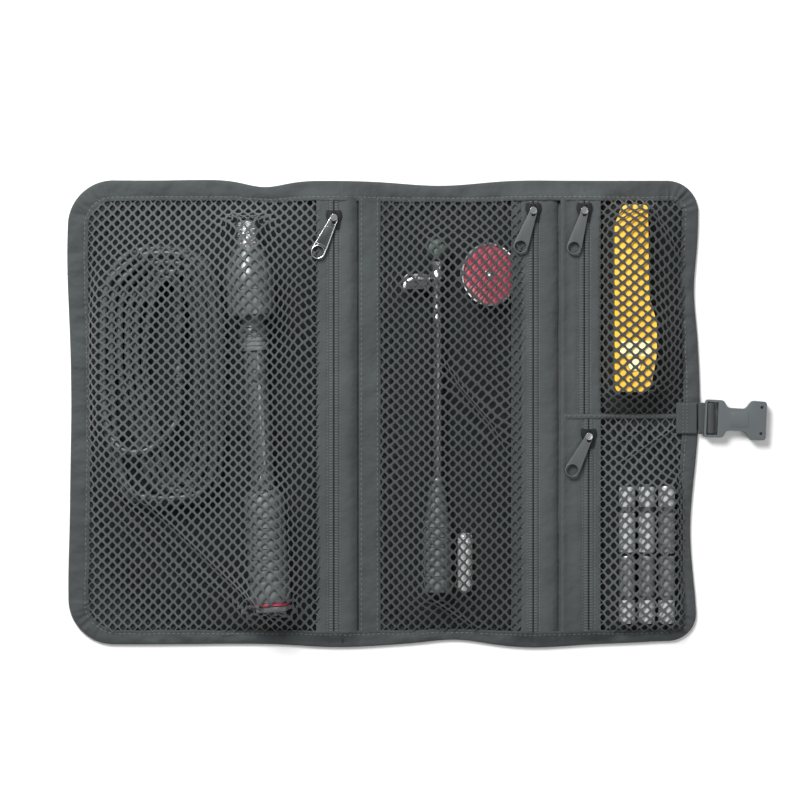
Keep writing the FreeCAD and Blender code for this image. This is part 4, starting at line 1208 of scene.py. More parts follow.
def net_list():
    """The four nets, each with what lies under it and the creases that it is drawn into."""
    tape_left, tape_middle = span("zip_tape_left"), span("zip_tape_middle")
    tape_right = span("zip_tape_upper")
    top, low = EDGE_HIGH.y - 11.4, EDGE_LOW.y + 7.2
    return [
        Net(
            "left", (EDGE_LOW.x + 11.2, low), (tape_left[0].x + 1.4, top),
            ["lead", "plug_a_body", "plug_b_body", "probe_head_shell", "probe_tip_nose", "probe_barrel_tube",
             "probe_grip_sleeve", "cover_cloth_left"],
            [((-198, -34), (-82, -141), 3.2, 8.0), ((-200, -44), (-94, -145), 2.6, 6.0),
             ((-196, -62), (-130, -124), 1.6, 5.0)],
            [((-76, 60), (-1.5, 4.0), (9, 34)), ((-76, -60), (-1.0, -3.0), (9, 30)),
             ((-206, 20), (-1.8, 0), (7, 90))],
        ),
        Net(
            "middle", (CREASE_RIGHT - 1.6, low), (tape_middle[0].x + 1.6, top),
            ["rod_shaft_turned", "rod_taper_turned", "rod_grip_turned", "rod_knob_dome", "rod_hook_arm",
             "lens_ring", "capsule_shell"],
            [((12, 36), (54, -13), 2.8, 7.0), ((20, 22), (58, -24), 2.0, 5.5),
             ((8, -118), (40, -140), 2.2, 6.0)],
            [((60, 20), (1.2, -2.2), (9, 40)), ((-18, -40), (-1.2, 2.0), (8, 50))],
            # This net's yarn is darkened to 0.66 as painted shade over the pocket.
            hem=9.0, finish="net_dark",
        ),
        Net(
            "upper", (tape_right[1].x - 1.6, -2.0), (EDGE_HIGH.x - 8.2, top),
            ["wand_body"],
            [((150, 128), (168, 100), 1.0, 5.0)],
            # This net's yarn is darkened to 0.66 as painted shade over the pocket.
            [((161, 60), (0.0, -3.6), (6.5, 45)), ((120, 70), (0, 1.8), (5, 40))], finish="net_dark",
        ),
        Net(
            "lower", (tape_right[1].x - 1.6, low), (EDGE_HIGH.x - 8.2, -3.2),
            ["cell_bodies"],
            [((126, -34), (168, -8), 1.6, 6.0), ((124, -22), (150, -8), 1.2, 5.0)],
            [((166, -80), (0.8, 2.4), (5, 35))],
        ),
    ]


# ---- the buckle and its webbing ---------------------------------------------------------------


def webbing(name, path, low_y, high_y, material, thick=1.2):
    """Woven strap along (x, z) points, its crossing threads standing proud."""
    rows = []
    for (ax, az), (bx, bz) in zip(path, path[1:]):
        count = max(1, round(math.hypot(bx - ax, bz - az) / 0.8))
        rows += [(ax + (bx - ax) * i / count, az + (bz - az) * i / count) for i in range(count)]
    rows.append(path[-1])
    columns = steps(low_y, high_y, 0.84)
    vertices, faces = [], []
    for r, (x, z) in enumerate(rows):
        before, after = rows[max(r - 1, 0)], rows[min(r + 1, len(rows) - 1)]
        way = Vector((after[0] - before[0], after[1] - before[1])).normalized()
        for c, y in enumerate(columns):
            edge = 0.25 if c in (0, len(columns) - 1) else 0
            proud = 0.14 * (1 if (r // 2 + c) % 2 else -1) - edge
            vertices.append((x - way.y * proud, y, z + way.x * proud))
    wide = len(columns)
    for r in range(len(rows) - 1):
        for c in range(wide - 1):
            a = r * wide + c
            faces.append((a, a + wide, a + wide + 1, a + 1))
    made = piece(name, vertices, faces, material)
    modify(made, "SOLIDIFY", thickness=thick * MM, offset=-1)
    return apply_stack(made)


def carve(made, cutters):
    """Cut helper meshes out of a piece and remove them."""
    for cutter in cutters:
        modify(made, "BOOLEAN", operation="DIFFERENCE", object=cutter, solver="EXACT")
    apply_stack(made, 40)
    for cutter in cutters:
        bpy.data.objects.remove(cutter)
    return made


def make_buckle(finishes):
    """The female half: base with its web slot, waist and flared mouth, rounded all over."""
    low, high = span("buckle_socket")
    y = (low.y + high.y) / 2
    base_end, flare = low.x + 13.6, high.x - 9.2
    shape = [
        (low.x + 0.3, y + 12.0), (base_end - 1.5, y + 11.9), (base_end + 0.8, y + 7.2),
        (flare - 4.2, y + 7.0), (flare - 0.6, y + 12.4), (high.x, y + 12.0),
        (high.x, y - 12.6), (flare - 0.6, y - 12.9),
        (flare - 4.2, y - 7.3), (base_end + 0.8, y - 7.3), (base_end - 1.5, y - 12.0), (low.x, y - 12.1),
    ]
    body = plate("buckle_female", rounded(shape, 2.0), low.z, high.z, finishes["buckle"], 1.0, segments=3)
    slot = [(low.x + 1.4, y - 10.6), (low.x + 8.6, y - 10.6), (low.x + 8.6, y + 10.6),
        (low.x + 1.4, y + 10.6)]
    cutters = [plate("slot", rounded(slot, 0.8), low.z - 1, high.z + 1, None, 0)]
    room = [(flare + 1.5, y - 11.6), (high.x + 1, y - 11.2), (high.x + 1, y + 11.2), (flare + 1.5, y + 11.6)]
    throat = [(base_end + 5, y - 5.9), (high.x + 2, y - 5.9), (high.x + 2, y + 5.9), (base_end + 5, y + 5.9)]
    cutters.append(plate("room", room, low.z + 1.0, high.z - 1.0, None, 0))
    cutters.append(plate("throat", throat, low.z + 1.05, high.z - 1.05, None, 0))
    for side in (-1, 1):
        window = [(base_end + 4, y + side * 7.9), (flare - 3.2, y + side * 7.9),
                  (flare - 1.5, y + side * 5.6), (base_end + 4, y + side * 5.6)]
        cutters.append(plate("window", window[:: -side], low.z + 1.8, high.z - 1.8, None, 0))
    carve(body, cutters)
    bar = turned("bar", [(0, 11), (1.55, 11), (1.55, -11), (0, -11)], finishes["buckle"], 24)
    centre = Vector((low.x + 4.2, y, low.z + 3.2))
    place(bar, Matrix.Translation(centre) @ Matrix.Rotation(math.radians(90), 4, "X"))
    marks = []
    for side in (-1, 1):
        dot = turned("dot", [(0, 0.12), (0.9, 0.1), (1.1, -0.1)], finishes["slider"], 20)
        place(dot, Matrix.Translation((high.x - 3.2, y + side * 8.4, high.z - 0.02)))
        marks.append(dot)
    panel = plate(
        "panel", rounded([(base_end + 3, y - 5), (flare - 2, y - 5), (flare - 2, y + 5),
        (base_end + 3, y + 5)], 1.5),
        high.z - 0.2, high.z + 0.18, finishes["buckle"], 0.15)
    made = joined("buckle_female_half", [body, bar, *marks, panel])
    made.data.set_sharp_from_angle(angle=math.radians(40))
    turn = Matrix.Rotation(math.radians(-2.4), 4, "Z")
    place(made, Matrix.Translation(centre) @ turn @ Matrix.Translation(-centre))
    settle(made, "socket", "buckle", "buckle_socket")


def make_straps(finishes):
    """The webbing on the buckle's side and the tail with the male half."""
    low, high = span("buckle_strap")
    bar_at = Vector(JOINTS["socket_tilt"]["pos_m"]) / MM
    anchor_low, anchor_high = span("buckle_anchor")
    edge_z = anchor_high.z - 0.1
    flat = [(anchor_low.x, edge_z - 0.4), (anchor_low.x + 2, edge_z), (anchor_high.x, edge_z)]
    made = webbing("strap_root", flat, anchor_low.y, anchor_high.y, finishes["web"])
    settle(made, "right_half", "webbing", "buckle_anchor")
    spots = []
    for x in (anchor_low.x + 4.5, anchor_low.x + 7.0):
        for y in steps(anchor_low.y + 1.4, anchor_high.y - 1.4, 2.1):
            spots.append((Vector((x, y, edge_z + 0.2)), (0.25, 1, 0)))
    settle(stitches("strap_thread", spots, finishes["thread"], 1.7, 0.3), "right_half", "webbing")
    reach = high.x - bar_at.x
    loop = [(low.x - 0.1, edge_z), (bar_at.x - 3.4, edge_z + 0.2)]
    for step in range(9):
        angle = math.radians(115 - step * 29)
        loop.append((bar_at.x + reach * 0.98 * math.cos(angle), bar_at.z + reach * 0.93 * math.sin(angle)))
    loop += [(low.x + 3.4, edge_z - 1.7)]
    made = webbing("strap_loop", loop, low.y, high.y, finishes["web"], 1.0)
    settle(made, "strap", "webbing", "buckle_strap")
    low, high = span("tail_strap")
    flat = [(low.x - 0.5, high.z), (high.x, high.z)]
    made = webbing("tail_web", flat, low.y, high.y, finishes["web"], 1.4)
    settle(made, "closing_tail", "webbing", "tail_strap")
    low, high = span("male_buckle")
    y = (low.y + high.y) / 2
    base = [(low.x + 13.5, y - 11.5), (high.x, y - 11.5), (high.x, y + 11.5), (low.x + 13.5, y + 11.5)]
    slot = [(low.x + 19, y - 9.8), (high.x - 1.6, y - 9.8), (high.x - 1.6, y + 9.8), (low.x + 19, y + 9.8)]
    parts = [plate("male_base", rounded(base, 1.6), low.z, high.z, finishes["buckle"], 0.5,
        [rounded(slot, 0.6)])]
    for side in (-1, 1):
        prong = [
            (low.x + 15, y + side * 8.0), (low.x + 5, y + side * 7.4), (low.x + 0.3, y + side * 9.0),
            (low.x + 1.4, y + side * 11.4), (low.x + 6.4, y + side * 11.7),
            (low.x + 7.2, y + side * 10.2), (low.x + 15, y + side * 10.8),
        ]
        parts.append(plate("prong", rounded(prong[::side], 0.6), low.z + 0.7, high.z - 0.7,
            finishes["buckle"], 0.35))
    guide = [(low.x + 15, y - 1.6), (low.x + 15, y + 1.6), (low.x + 2.5, y + 1.3), (low.x + 2.5, y - 1.3)]
    parts.append(plate("guide", rounded(guide, 0.6), low.z + 0.9, high.z - 0.9, finishes["buckle"], 0.3))
    made = joined("buckle_male_half", parts)
    made.data.set_sharp_from_angle(angle=math.radians(40))
    settle(made, "closing_tail", "buckle", "male_buckle")


# ---- the lead ---------------------------------------------------------------------------------

TURNS = 6


def lead_route(plug_a, plug_b):
    """The lead from one plug through its turns to the other, outward from the innermost."""
    low, high = span("lead_coil")
    right, left, top, bottom = high.x - 2.4, low.x + 2.6, high.y - 2.4, low.y + 2.6
    floor = low.z + 2.4
    x_a, y_a = plug_a
    route = [(x_a, y_a, 12.6), (x_a, y_a + 5, 12.6), (x_a - 2.5, y_a + 9.5, 12.8),
             (x_a - 9, y_a + 10.5, 12.6), (x_a - 15.5, y_a + 5, 11.5)]
    for number in range(TURNS):
        depth = TURNS - 1 - number
        x_r = right - 3.15 * depth
        x_l = left + 5.3 * depth
        y_t = top - 3.0 * depth
        y_b = bottom + 2.3 * depth + 0.8 * math.sin(3 * depth)
        outer = depth < 2
        layer = floor + (4.3 if depth % 2 else 0.0)
        cut_x = left + 9 + 2 * depth if outer else left + 26 + 4.2 * (depth - 2)
        sway = 0.9 * math.sin(2.1 * number + 0.5)
        if number:
            route += [(x_l + 0.8, y_t - 22, floor)]
        route += [
            (x_l, 46 + sway, floor), (x_l + 0.4, 24, floor),
            ((x_l * 0.62 + cut_x * 0.38) if not outer else x_l + 1.2, 2, floor),
            ((x_l * 0.2 + cut_x * 0.8) if not outer else x_l + 3.6, -18, floor),
            (cut_x + 0.5 * sway, y_b + 20, floor), (cut_x + 5, y_b + 6, floor + (layer - floor) * 0.4),
            (cut_x + 12 + sway, y_b + 0.5, layer), ((cut_x + 10 + x_r) / 2 + 3, y_b, layer),
            (x_r - 10, y_b + 3, layer), (x_r - 2.2, y_b + 14, layer), (x_r + 0.4 * sway, -20, layer),
            (x_r - 0.3, 12 + sway, layer), (x_r + 0.3 * sway, 44, layer),
            (x_r - 1.4, 70 - 1.5 * depth, layer), (x_r - 8, y_t - 9, layer),
            ((x_r + x_l) / 2 + 12, y_t - 0.6, layer),
            ((x_r + x_l) / 2 - 10, y_t, layer * 0.7 + floor * 0.3), (x_l + 11, y_t - 5.5, floor),
        ]
    x_b, y_b_plug = plug_b
    above = floor + 5.2
    route += [
        (left + 1.6, top - 24, floor), (left + 0.4, 52, floor), (left + 0.2, 24, floor),
        (left + 1.0, 0, floor), (left + 5.0, -16, floor + 2), (left + 13, -25, above),
        (left + 24, -26, above), (left + 34, -22, above), (x_b - 5, -12, above - 1),
        (x_b - 0.6, y_b_plug - 8, 12.8), (x_b, y_b_plug - 4, 12.6), (x_b, y_b_plug, 12.6),
    ]
    return route


def plug_profile(long):
    """A moulded plug: its sprung tip, its shouldered body and a ribbed tapered boot."""
    made = [(0, long / 2), (1.5, long / 2 - 0.3), (1.9, long / 2 - 1.4), (1.9, long / 2 - 9),
        (3.2, long / 2 - 9.4), (3.6, long / 2 - 11)]
    made += [(3.9, long / 2 - 12), (3.9, 2.0), (4.1, 1.6), (4.1, 0.2), (3.7, -0.4)]
    for rib in range(5):
        at = -1.4 - rib * 2.4
        size = 3.9 - rib * 0.2
        made += [(size, at), (size, at - 1.2), (size - 0.7, at - 1.5), (size - 0.75, at - 2.2)]
    return made + [(2.9, -long / 2 + 0.6), (2.5, -long / 2), (0, -long / 2)]


def make_lead(finishes, sizes):
    a_low, a_high = span("lead_plug_a")
    b_low, b_high = span("lead_plug_b")
    x = (a_low.x + a_high.x) / 2
    height = (a_low.z + a_high.z) / 2
    plugs = []
    for name, low, high, turn in (("plug_a_body", a_low, a_high, 90), ("plug_b_body", b_low, b_high, -90)):
        made = turned(name, plug_profile(high.y - low.y), finishes["plug"], 32)
        centre = Vector((x, (low.y + high.y) / 2, height))
        place(made, Matrix.Translation(centre) @ Matrix.Rotation(math.radians(turn), 4, "X"))
        node = "lead_plug_a" if name.startswith("plug_a") else "lead_plug_b"
        settle(made, "left_half", "cable", node)
        plugs.append(made)
    radius = sizes.lead_diameter / MM / 2
    lead = tube("lead", lead_route((x, a_high.y - 0.5), (x, b_low.y + 0.5)), radius, finishes["cable"], 4)
    settle(lead, "left_half", "cable", "lead_coil")
    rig.cord(
        lead, exit=(x * MM, (a_high.y - 0.5) * MM, 12.6 * MM),
        length=sizes.lead_length, diameter=sizes.lead_diameter,
        far_end="plug", stiffness="limp", lay="coiled", with_pieces=plugs,
    )


# ---- the tools --------------------------------------------------------------------------------


def probe_frame():
    """The matrix that takes a part made along -Z from the probe's tip to where it lies."""
    joint = JOINTS["nose_twist"]
    axis = Vector(joint["axis"]).normalized()
    if axis.y > 0:
        axis = -axis
    tip_high = span("probe_tip")[1]
    origin = Vector(joint["pos_m"]) / MM
    start = origin + axis * ((tip_high.y - origin.y) / axis.y)
    spin = Vector((0, 0, -1)).rotation_difference(axis).to_matrix().to_4x4()
    return Matrix.Translation(start) @ spin


def make_probe(finishes):
    """The probe, turned part by turned part from its bright tip to its end cap."""
    lie = probe_frame()
    tip = [(0, 0), (3.0, -0.2), (5.4, -1.0), (6.6, -2.4)]
    for ring in range(5):
        at = -3.0 - ring * 2.9
        size = 7.1 + ring * 0.15
        tip += [(size - 0.5, at), (size, at - 0.5), (size, at - 1.9), (size - 0.5, at - 2.4)]
    tip += [(7.9, -17.6), (7.9, -18.5)]
    head = [(7.6, -17.9), (9.4, -18.1), (10.2, -19.2), (12.4, -26), (14.8, -33.5), (15.4, -37),
        (15.4, -44), (15.0, -44.4)]
    head += [(15.0, -45.6), (15.4, -46), (15.4, -58.4), (14.9, -60.2), (13.8, -61), (8.3, -61)]
    neck = [(7.6, -61), (8, -61.6), (7.4, -64), (7.4, -66), (8, -68.2), (7.6, -68.6)]
    collar = [(7.9, -68.6), (9.2, -68.8), (9.6, -69.6)]
    for groove in range(4):
        at = -71.2 - groove * 2.9
        collar += [(9.6, at), (9.0, at - 0.3), (9.0, at - 0.9), (9.6, at - 1.2)]
    collar += [(9.6, -82.5), (9.2, -83.2), (7.5, -83.3)]
    barrel = [(6.9, -83.3), (7.4, -83.9), (7.4, -97), (7.1, -97.4), (7.1, -98), (7.4, -98.4),
              (7.4, -160), (7.15, -160.4), (7.15, -161), (7.4, -161.4), (7.4, -171.5), (6.9, -172)]
    grip = [(7.5, -172), (9.5, -172.4), (11.4, -174.6), (12.7, -178.5), (13, -184)]
    for groove in range(7):
        at = -189 - groove * 6.6
        grip += [(13, at), (12.35, at - 0.7), (12.35, at - 1.5), (13, at - 2.2)]
    grip += [(13, -238), (12.6, -242.6), (12.1, -243.5), (10.5, -243.6)]
    ring = [(11.0, -243.6), (12.4, -243.8), (12.6, -244.4), (12.4, -245.4), (11.0, -245.6)]
    cap = [(10.8, -245.6), (11.6, -246), (11.5, -247.6), (10.6, -249), (8.5, -249.5), (0, -249.5)]
    rows = [
        ("probe_tip_nose", tip, "chrome", "probe_nose", "chrome", ("probe_tip",)),
        ("probe_head_shell", head, "tool", "probe_nose", "tool_black", ("probe_head",)),
        ("probe_neck_turned", neck, "tool", "left_half", "tool_black", ()),
        ("probe_collar_turned", collar, "tool", "left_half", "tool_black", ("probe_collar",)),
        ("probe_barrel_tube", barrel, "gloss", "left_half", "tool_black", ("probe_barrel",)),
        ("probe_grip_sleeve", grip, "grip", "left_half", "tool_grip", ("probe_grip",)),
        ("probe_ring_turned", ring, "red", "left_half", "tool_red", ("probe_ring",)),
        ("probe_cap_turned", cap, "tool", "left_half", "tool_black", ("probe_end_cap",)),
    ]
    for name, profile, finish, body, slot, nodes in rows:
        made = turned(name, profile, finishes[finish], 56)
        settle(place(made, lie), body, slot, *nodes)
    low, high = span("probe_button")
    centre = (low + high) / 2
    key = turned("probe_key_cap", [(0, 0.5), (1.6, 0.45), (2.4, 0.2), (2.8, -0.3), (2.9, -2.6)],
        finishes["rubber"], 32)
    place(key, Matrix.Translation((centre.x, centre.y, high.z - 0.5)))
    settle(key, "probe_key", "key_dark", "probe_button")


def make_rod(finishes):
    """The reaching arm: clear dome, bright arm, shaft, taper and grip."""
    low, high = span("rod_shaft")
    x, z = (low.x + high.x) / 2, (low.z + high.z) / 2
    up = Matrix.Rotation(math.radians(-90), 4, "X")

    def lay(name, profile, finish, slot, node, sides=44):
        made = turned(name, profile, finishes[finish], sides)
        return settle(place(made, Matrix.Translation((x, 0, z)) @ up), "right_half", slot, node)

    shaft = [(3.4, high.y), (3.8, high.y - 0.4), (3.8, 60), (4.05, 59.5), (4.05, 57.5), (3.8, 57),
        (3.8, low.y)]
    lay("rod_shaft_turned", shaft, "satin", "tool_metal", "rod_shaft")
    low, high = span("rod_taper")
    taper = [(3.9, high.y), (4.4, high.y - 1), (4.4, high.y - 2.6), (4.1, high.y - 3.2),
        (5.6, high.y - 12), (6.9, high.y - 20), (7.9, low.y + 1.5), (7.9, low.y)]
    lay("rod_taper_turned", taper, "tool", "tool_black", "rod_taper")
    low, high = span("rod_grip")
    grip = [(7.8, high.y), (8.6, high.y - 0.8)]
    for groove in range(6):
        at = high.y - 4 - groove * 6.2
        grip += [(8.6, at), (8.0, at - 0.8), (8.0, at - 1.8), (8.6, at - 2.6)]
    grip += [(8.6, low.y + 2), (8.0, low.y + 0.5), (6.5, low.y), (0, low.y)]
    lay("rod_grip_turned", grip, "grip", "tool_grip", "rod_grip")
    low, high = span("rod_knuckle")
    knuckle = [(0, high.y), (3.6, high.y), (4.3, high.y - 0.5),
               (4.3, (low.y + high.y) / 2 + 1.5), (3.5, (low.y + high.y) / 2),
               (4.3, (low.y + high.y) / 2 - 1.5), (4.3, low.y + 0.5), (3.6, low.y), (0, low.y)]
    lay("rod_knuckle_turned", knuckle, "chrome", "chrome", "rod_knuckle")
    low, high = span("rod_knob")
    centre, radius = (low + high) / 2, (high.x - low.x) / 2
    dome = [(radius * math.sin(a), radius * math.cos(a)) for a in np.linspace(0, math.pi, 25)]
    dome = [(r, h) if abs(h) > 1.2 else (r + 0.25, h) for r, h in dome]
    made = turned("rod_knob_dome", dome, finishes["dome"], 48)
    settle(place(made, Matrix.Translation(centre) @ Matrix.Rotation(math.radians(-90), 4, "X")),
        "right_half", "clear_dome", "rod_knob")
    core = turned("rod_knob_core", [(0, 4.6), (2.6, 4), (3.4, 2), (3.4, -3), (2.2, -4.6), (0, -5)],
        finishes["chrome"], 32)
    settle(place(core, Matrix.Translation(centre) @ Matrix.Rotation(math.radians(-90), 4, "X")),
        "right_half", "chrome")
    low, high = span("rod_hook")
    arm_y, arm_z = high.y - 4.2, (low.z + high.z) / 2
    arm = [(high.x - 1, arm_y, arm_z), (high.x - 6, arm_y + 0.4, arm_z), (low.x + 9, arm_y + 0.5, arm_z),
           (low.x + 4, arm_y - 1.5, arm_z), (low.x + 2.6, arm_y - 5, arm_z),
           (low.x + 3.5, low.y + 1.6, arm_z)]
    made = apply_curve(tube("rod_hook_arm", arm, 1.9, finishes["chrome"], 5))
    made.name = "rod_hook_arm"
    blade = [(low.x + 1.2, low.y + 3.5), (high.x - 1.5, low.y + 3.5), (high.x - 1.5, high.y - 1.0),
        (low.x + 5, high.y - 0.6), (low.x + 0.8, high.y - 5)]
    web = plate("rod_hook_web", rounded(blade, 2.0), arm_z - 0.8, arm_z + 0.9, finishes["satin"], 0.35)
    both = joined("rod_hook_bright", [made, web])
    both.name = "rod_hook_arm"
    settle(both, "right_half", "chrome", "rod_hook")


def make_lens(finishes):
    """The red magnifying disc in its bright rim, leaning on the lining."""
    low, high = span("lens_rim")
    centre = (low + high) / 2
    half = (high.y - low.y) / 2
    tilt = math.asin(min(0.9, (high.z - low.z) / (2 * half)) * 0.88)
    lie = Matrix.Translation(centre) @ Matrix.Rotation(tilt, 4, "Y")
    rim = [(half - 1.5, 1.4), (half - 0.9, 1.6), (half - 0.2, 1.3), (half, 0.7), (half - 0.15, 0),
           (half, -0.7), (half - 0.2, -1.3), (half - 0.9, -1.6), (half - 1.5, -1.4),
           (half - 1.6, 0), (half - 1.5, 1.4)]
    made = turned("lens_ring", rim, finishes["chrome"], 72)
    settle(place(made, lie), "right_half", "tool_metal", "lens_rim")
    glass = [(0, 0.9), (2.2, 0.9), (2.4, 1.3), (3.4, 1.3), (3.6, 0.8), (9, 0.75), (9.2, 1.0), (9.6, 1.0),
             (9.8, 0.7), (half - 2.6, 0.45), (half - 1.6, 0.2), (half - 1.6, -0.6),
             (half - 2.6, -0.8), (0, -0.8)]
    made = turned("lens_disc", glass, finishes["lens"], 72)
    settle(place(made, lie), "right_half", "lens_red", "lens_glass")
    hub = turned("lens_hub", [(0, 1.9), (1.2, 1.8), (1.9, 1.4), (2.1, 0.9)], finishes["chrome"], 28)
    settle(place(hub, lie), "right_half", "tool_metal")


def make_capsule(finishes):
    """The small bright tube of spare bits with its screw cap."""
    low, high = span("capsule_body", "capsule_cap")
    x, z = (low.x + high.x) / 2, (low.z + high.z) / 2
    half = (high.x - low.x) / 2
    seat = span("capsule_cap")[0].y
    lie = Matrix.Translation((x, 0, z)) @ Matrix.Rotation(math.radians(-90), 4, "X")
    body = [(half * 0.8, seat), (half * 0.97, seat - 0.4), (half * 0.97, seat - 3),
            (half * 0.9, seat - 3.3), (half * 0.9, seat - 4), (half * 0.97, seat - 4.3),
            (half * 0.97, low.y + 3.4), (half * 0.8, low.y + 1.2), (half * 0.45, low.y + 0.2), (0, low.y)]
    made = turned("capsule_shell", body, finishes["capsule"], 40)
    settle(place(made, lie), "right_half", "capsule", "capsule_body")
    cap = [(0, high.y), (half * 0.5, high.y - 0.1), (half * 0.85, high.y - 0.9), (half, high.y - 2)]
    for groove in range(2):
        at = high.y - 2.8 - groove * 1.7
        cap += [(half, at), (half - 0.35, at - 0.3), (half - 0.35, at - 0.7), (half, at - 1.0)]
    cap += [(half, seat + 0.4), (half * 0.85, seat)]
    made = turned("capsule_lid", cap, finishes["capsule"], 40)
    settle(place(made, lie), "right_half", "capsule", "capsule_cap")


def make_wand(finishes):
    """The yellow toner wand: two half shells, a waist, its key and three small marks."""
    low, high = span("wand_case_back", "wand_case_front")
    split = span("wand_case_back")[1].z
    long = high.y - low.y
    waist = high.x - 5.4
    shape = [
        (low.x + 5.4, high.y), (waist, high.y), (waist + 0.6, low.y + long * 0.5),
        (high.x, low.y + long * 0.37), (high.x, low.y + long * 0.2),
        (high.x - 3.0, low.y + long * 0.06), (high.x - 5.5, low.y),
        (low.x + 1.2, low.y), (low.x, low.y + 4), (low.x, high.y - 13),
    ]
    outline = rounded(shape[::-1], 3.2)
    back = plate("wand_back_shell", outline, low.z, split - 0.12, finishes["yellow"], 1.6, segments=4)
    settle(back, "right_half", "yellow", "wand_case_back")
    front = plate("wand_body", outline, split + 0.12, high.z, finishes["yellow"], 3.0, segments=5)
    key_low, key_high = span("wand_button")
    key_x, key_y = (key_low.x + key_high.x) / 2, (key_low.y + key_high.y) / 2
    radius = (key_high.x - key_low.x) / 2
    well = plate("well", circle(key_x, key_y, radius + 0.4, 40), high.z - 4.4, high.z + 1, None, 0)
    carve(front, [well])
    for vertex in front.data.vertices:
        nose = float(smooth_step(high.y - 20, high.y + 2, vertex.co.y / MM))
        vertex.co.z = (split + (vertex.co.z / MM - split) * (1 - 0.62 * nose)) * MM
    settle(front, "right_half", "yellow", "wand_case_front")
    key = turned("wand_key_cap", [(0, 0.1), (radius * 0.5, 0.05), (radius * 0.8, -0.1), (radius, -0.6),
        (radius, -3.2)], finishes["pale_yellow"], 36)
    settle(place(key, Matrix.Translation((key_x, key_y, key_high.z - 0.1))), "wand_key", "key_dark",
        "wand_button")
    inset = [(low.x + 3.4, key_y + 5.6), (high.x - 3.4, key_y + 5.6), (high.x - 3.8, key_y + 15),
        (low.x + 3.4, key_y + 15)]
    label = plate("wand_label", rounded(inset, 1.4), high.z - 0.2, high.z + 0.12, finishes["pale_yellow"],
        0.1)
    settle(label, "right_half", "yellow")
    for number in range(3):
        mark = plate("wand_mark", circle(key_x - 2.6 + 2.6 * number, key_y - 9.2, 0.75, 16), high.z - 0.2,
            high.z + 0.1, finishes["rubber"], 0)
        settle(mark, "right_half", "key_dark")
    seam = plate("wand_gasket", rounded(shape[::-1], 3.4), split - 0.3, split + 0.3, finishes["rubber"], 0)
    for vertex in seam.data.vertices:
        centre_x = (low.x + high.x) / 2 * MM
        vertex.co.x = centre_x + (vertex.co.x - centre_x) * 0.96
    settle(seam, "right_half", "key_dark")


def make_cells(finishes):
    """Six spare cells: bright cans with their nubs, and printed sleeves shrunk over them."""
    sleeves = span("cell_sleeves")
    cans = span("spare_cells")
    pitch_x = (sleeves[1].x - sleeves[0].x - 10.5) / 2
    pitch_y = 44.6
    can_parts, sleeve_parts = [], []
    z = (sleeves[0].z + sleeves[1].z) / 2
    for row in range(2):
        for column in range(3):
            x = sleeves[0].x + 5.25 + column * pitch_x
            start = cans[0].y + row * pitch_y
            lie = Matrix.Translation((x, start, z)) @ Matrix.Rotation(math.radians(-90), 4, "X")
            can = [(0, 44.4), (1.5, 44.4), (1.9, 44.1), (1.9, 43.5), (2.6, 43.3), (4.3, 43.4),
                (4.9, 43.0), (4.9, 0.6), (4.5, 0.1), (3.2, 0.0), (3.0, 0.3), (0, 0.3)]
            made = turned("can", can, finishes["can"], 32)
            can_parts.append(place(made, lie))
            skin = [(4.4, 42.8), (5.1, 42.6), (5.25, 42.0), (5.25, 30), (5.2, 29.8), (5.2, 26.2),
                (5.25, 26), (5.25, 18), (5.2, 17.8)]
            skin += [(5.2, 15.2), (5.25, 15), (5.25, 1.6), (5.1, 1.0), (4.5, 0.8)]
            made = turned("skin", skin, finishes["sleeve"], 32)
            made.data.materials.append(finishes["sleeve_dark"])
            made.data.materials.append(finishes["sleeve_dim"])
            for face in made.data.polygons:
                height = face.center.z / MM
                band, dim = (
                    (26 < height < 30, height < 26 and column == 2) if row
                    else (15 < height < 18, height > 18))
                face.material_index = 1 if band else 2 if dim else 0
            sleeve_parts.append(place(made, lie))
    settle(joined("cell_cans", can_parts), "right_half", "cell_can", "spare_cells")
    made = joined("cell_bodies", sleeve_parts)
    made.data.set_sharp_from_angle(angle=math.radians(35))
    settle(made, "right_half", "cell_sleeve", "cell_sleeves")


# ---- the stage --------------------------------------------------------------------------------


def make_stage(sizes):
    """A pale floor, soft lights and a camera that looks straight down."""
    scene = bpy.context.scene
    scene.view_settings.view_transform = "Standard"
    world = bpy.data.worlds.new("soft_room")
    world.use_nodes = True
    background = world.node_tree.nodes["Background"]
    background.inputs[0].default_value = (1, 1, 1, 1)
    background.inputs[1].default_value = 0.27
    scene.world = world
    half = 3000.0
    floor = piece("floor", [(-half, -half, 0), (half, -half, 0), (half, half, 0), (-half, half, 0)],
        [(0, 1, 2, 3)])
    finish = Finish("floor_paper", (0.9, 0.9, 0.9), 0.9)
    finish.tinted(finish.grain(6.0) * 0.3, (0.93, 0.93, 0.93))
    floor.data.materials.append(finish.material)
    floor.location.z = -0.0003
    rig.stage(floor)
    for name, spot, size, power in (
        ("key_light", (-0.5, 0.9, 1.1), 0.7, 34.0),
        ("fill_light", (0.9, -0.4, 1.6), 1.2, 9.0),
    ):
        data = bpy.data.lights.new(name, "AREA")
        data.energy = power
        data.size = size
        light = bpy.data.objects.new(name, data)
        light.location = spot
        light.rotation_euler = (-Vector(spot)).to_track_quat("-Z", "Y").to_euler()
        scene.collection.objects.link(light)
    data = bpy.data.cameras.new("camera")
    data.sensor_width = 36.0
    distance = 2.4
    data.lens = data.sensor_width * distance / sizes.view_width
    data.clip_end = 50
    camera = bpy.data.objects.new("camera", data)
    camera.location = (-11.4 * MM, 7.7 * MM, distance)
    scene.collection.objects.link(camera)
    scene.camera = camera


# ---- finishes ---------------------------------------------------------------------------------


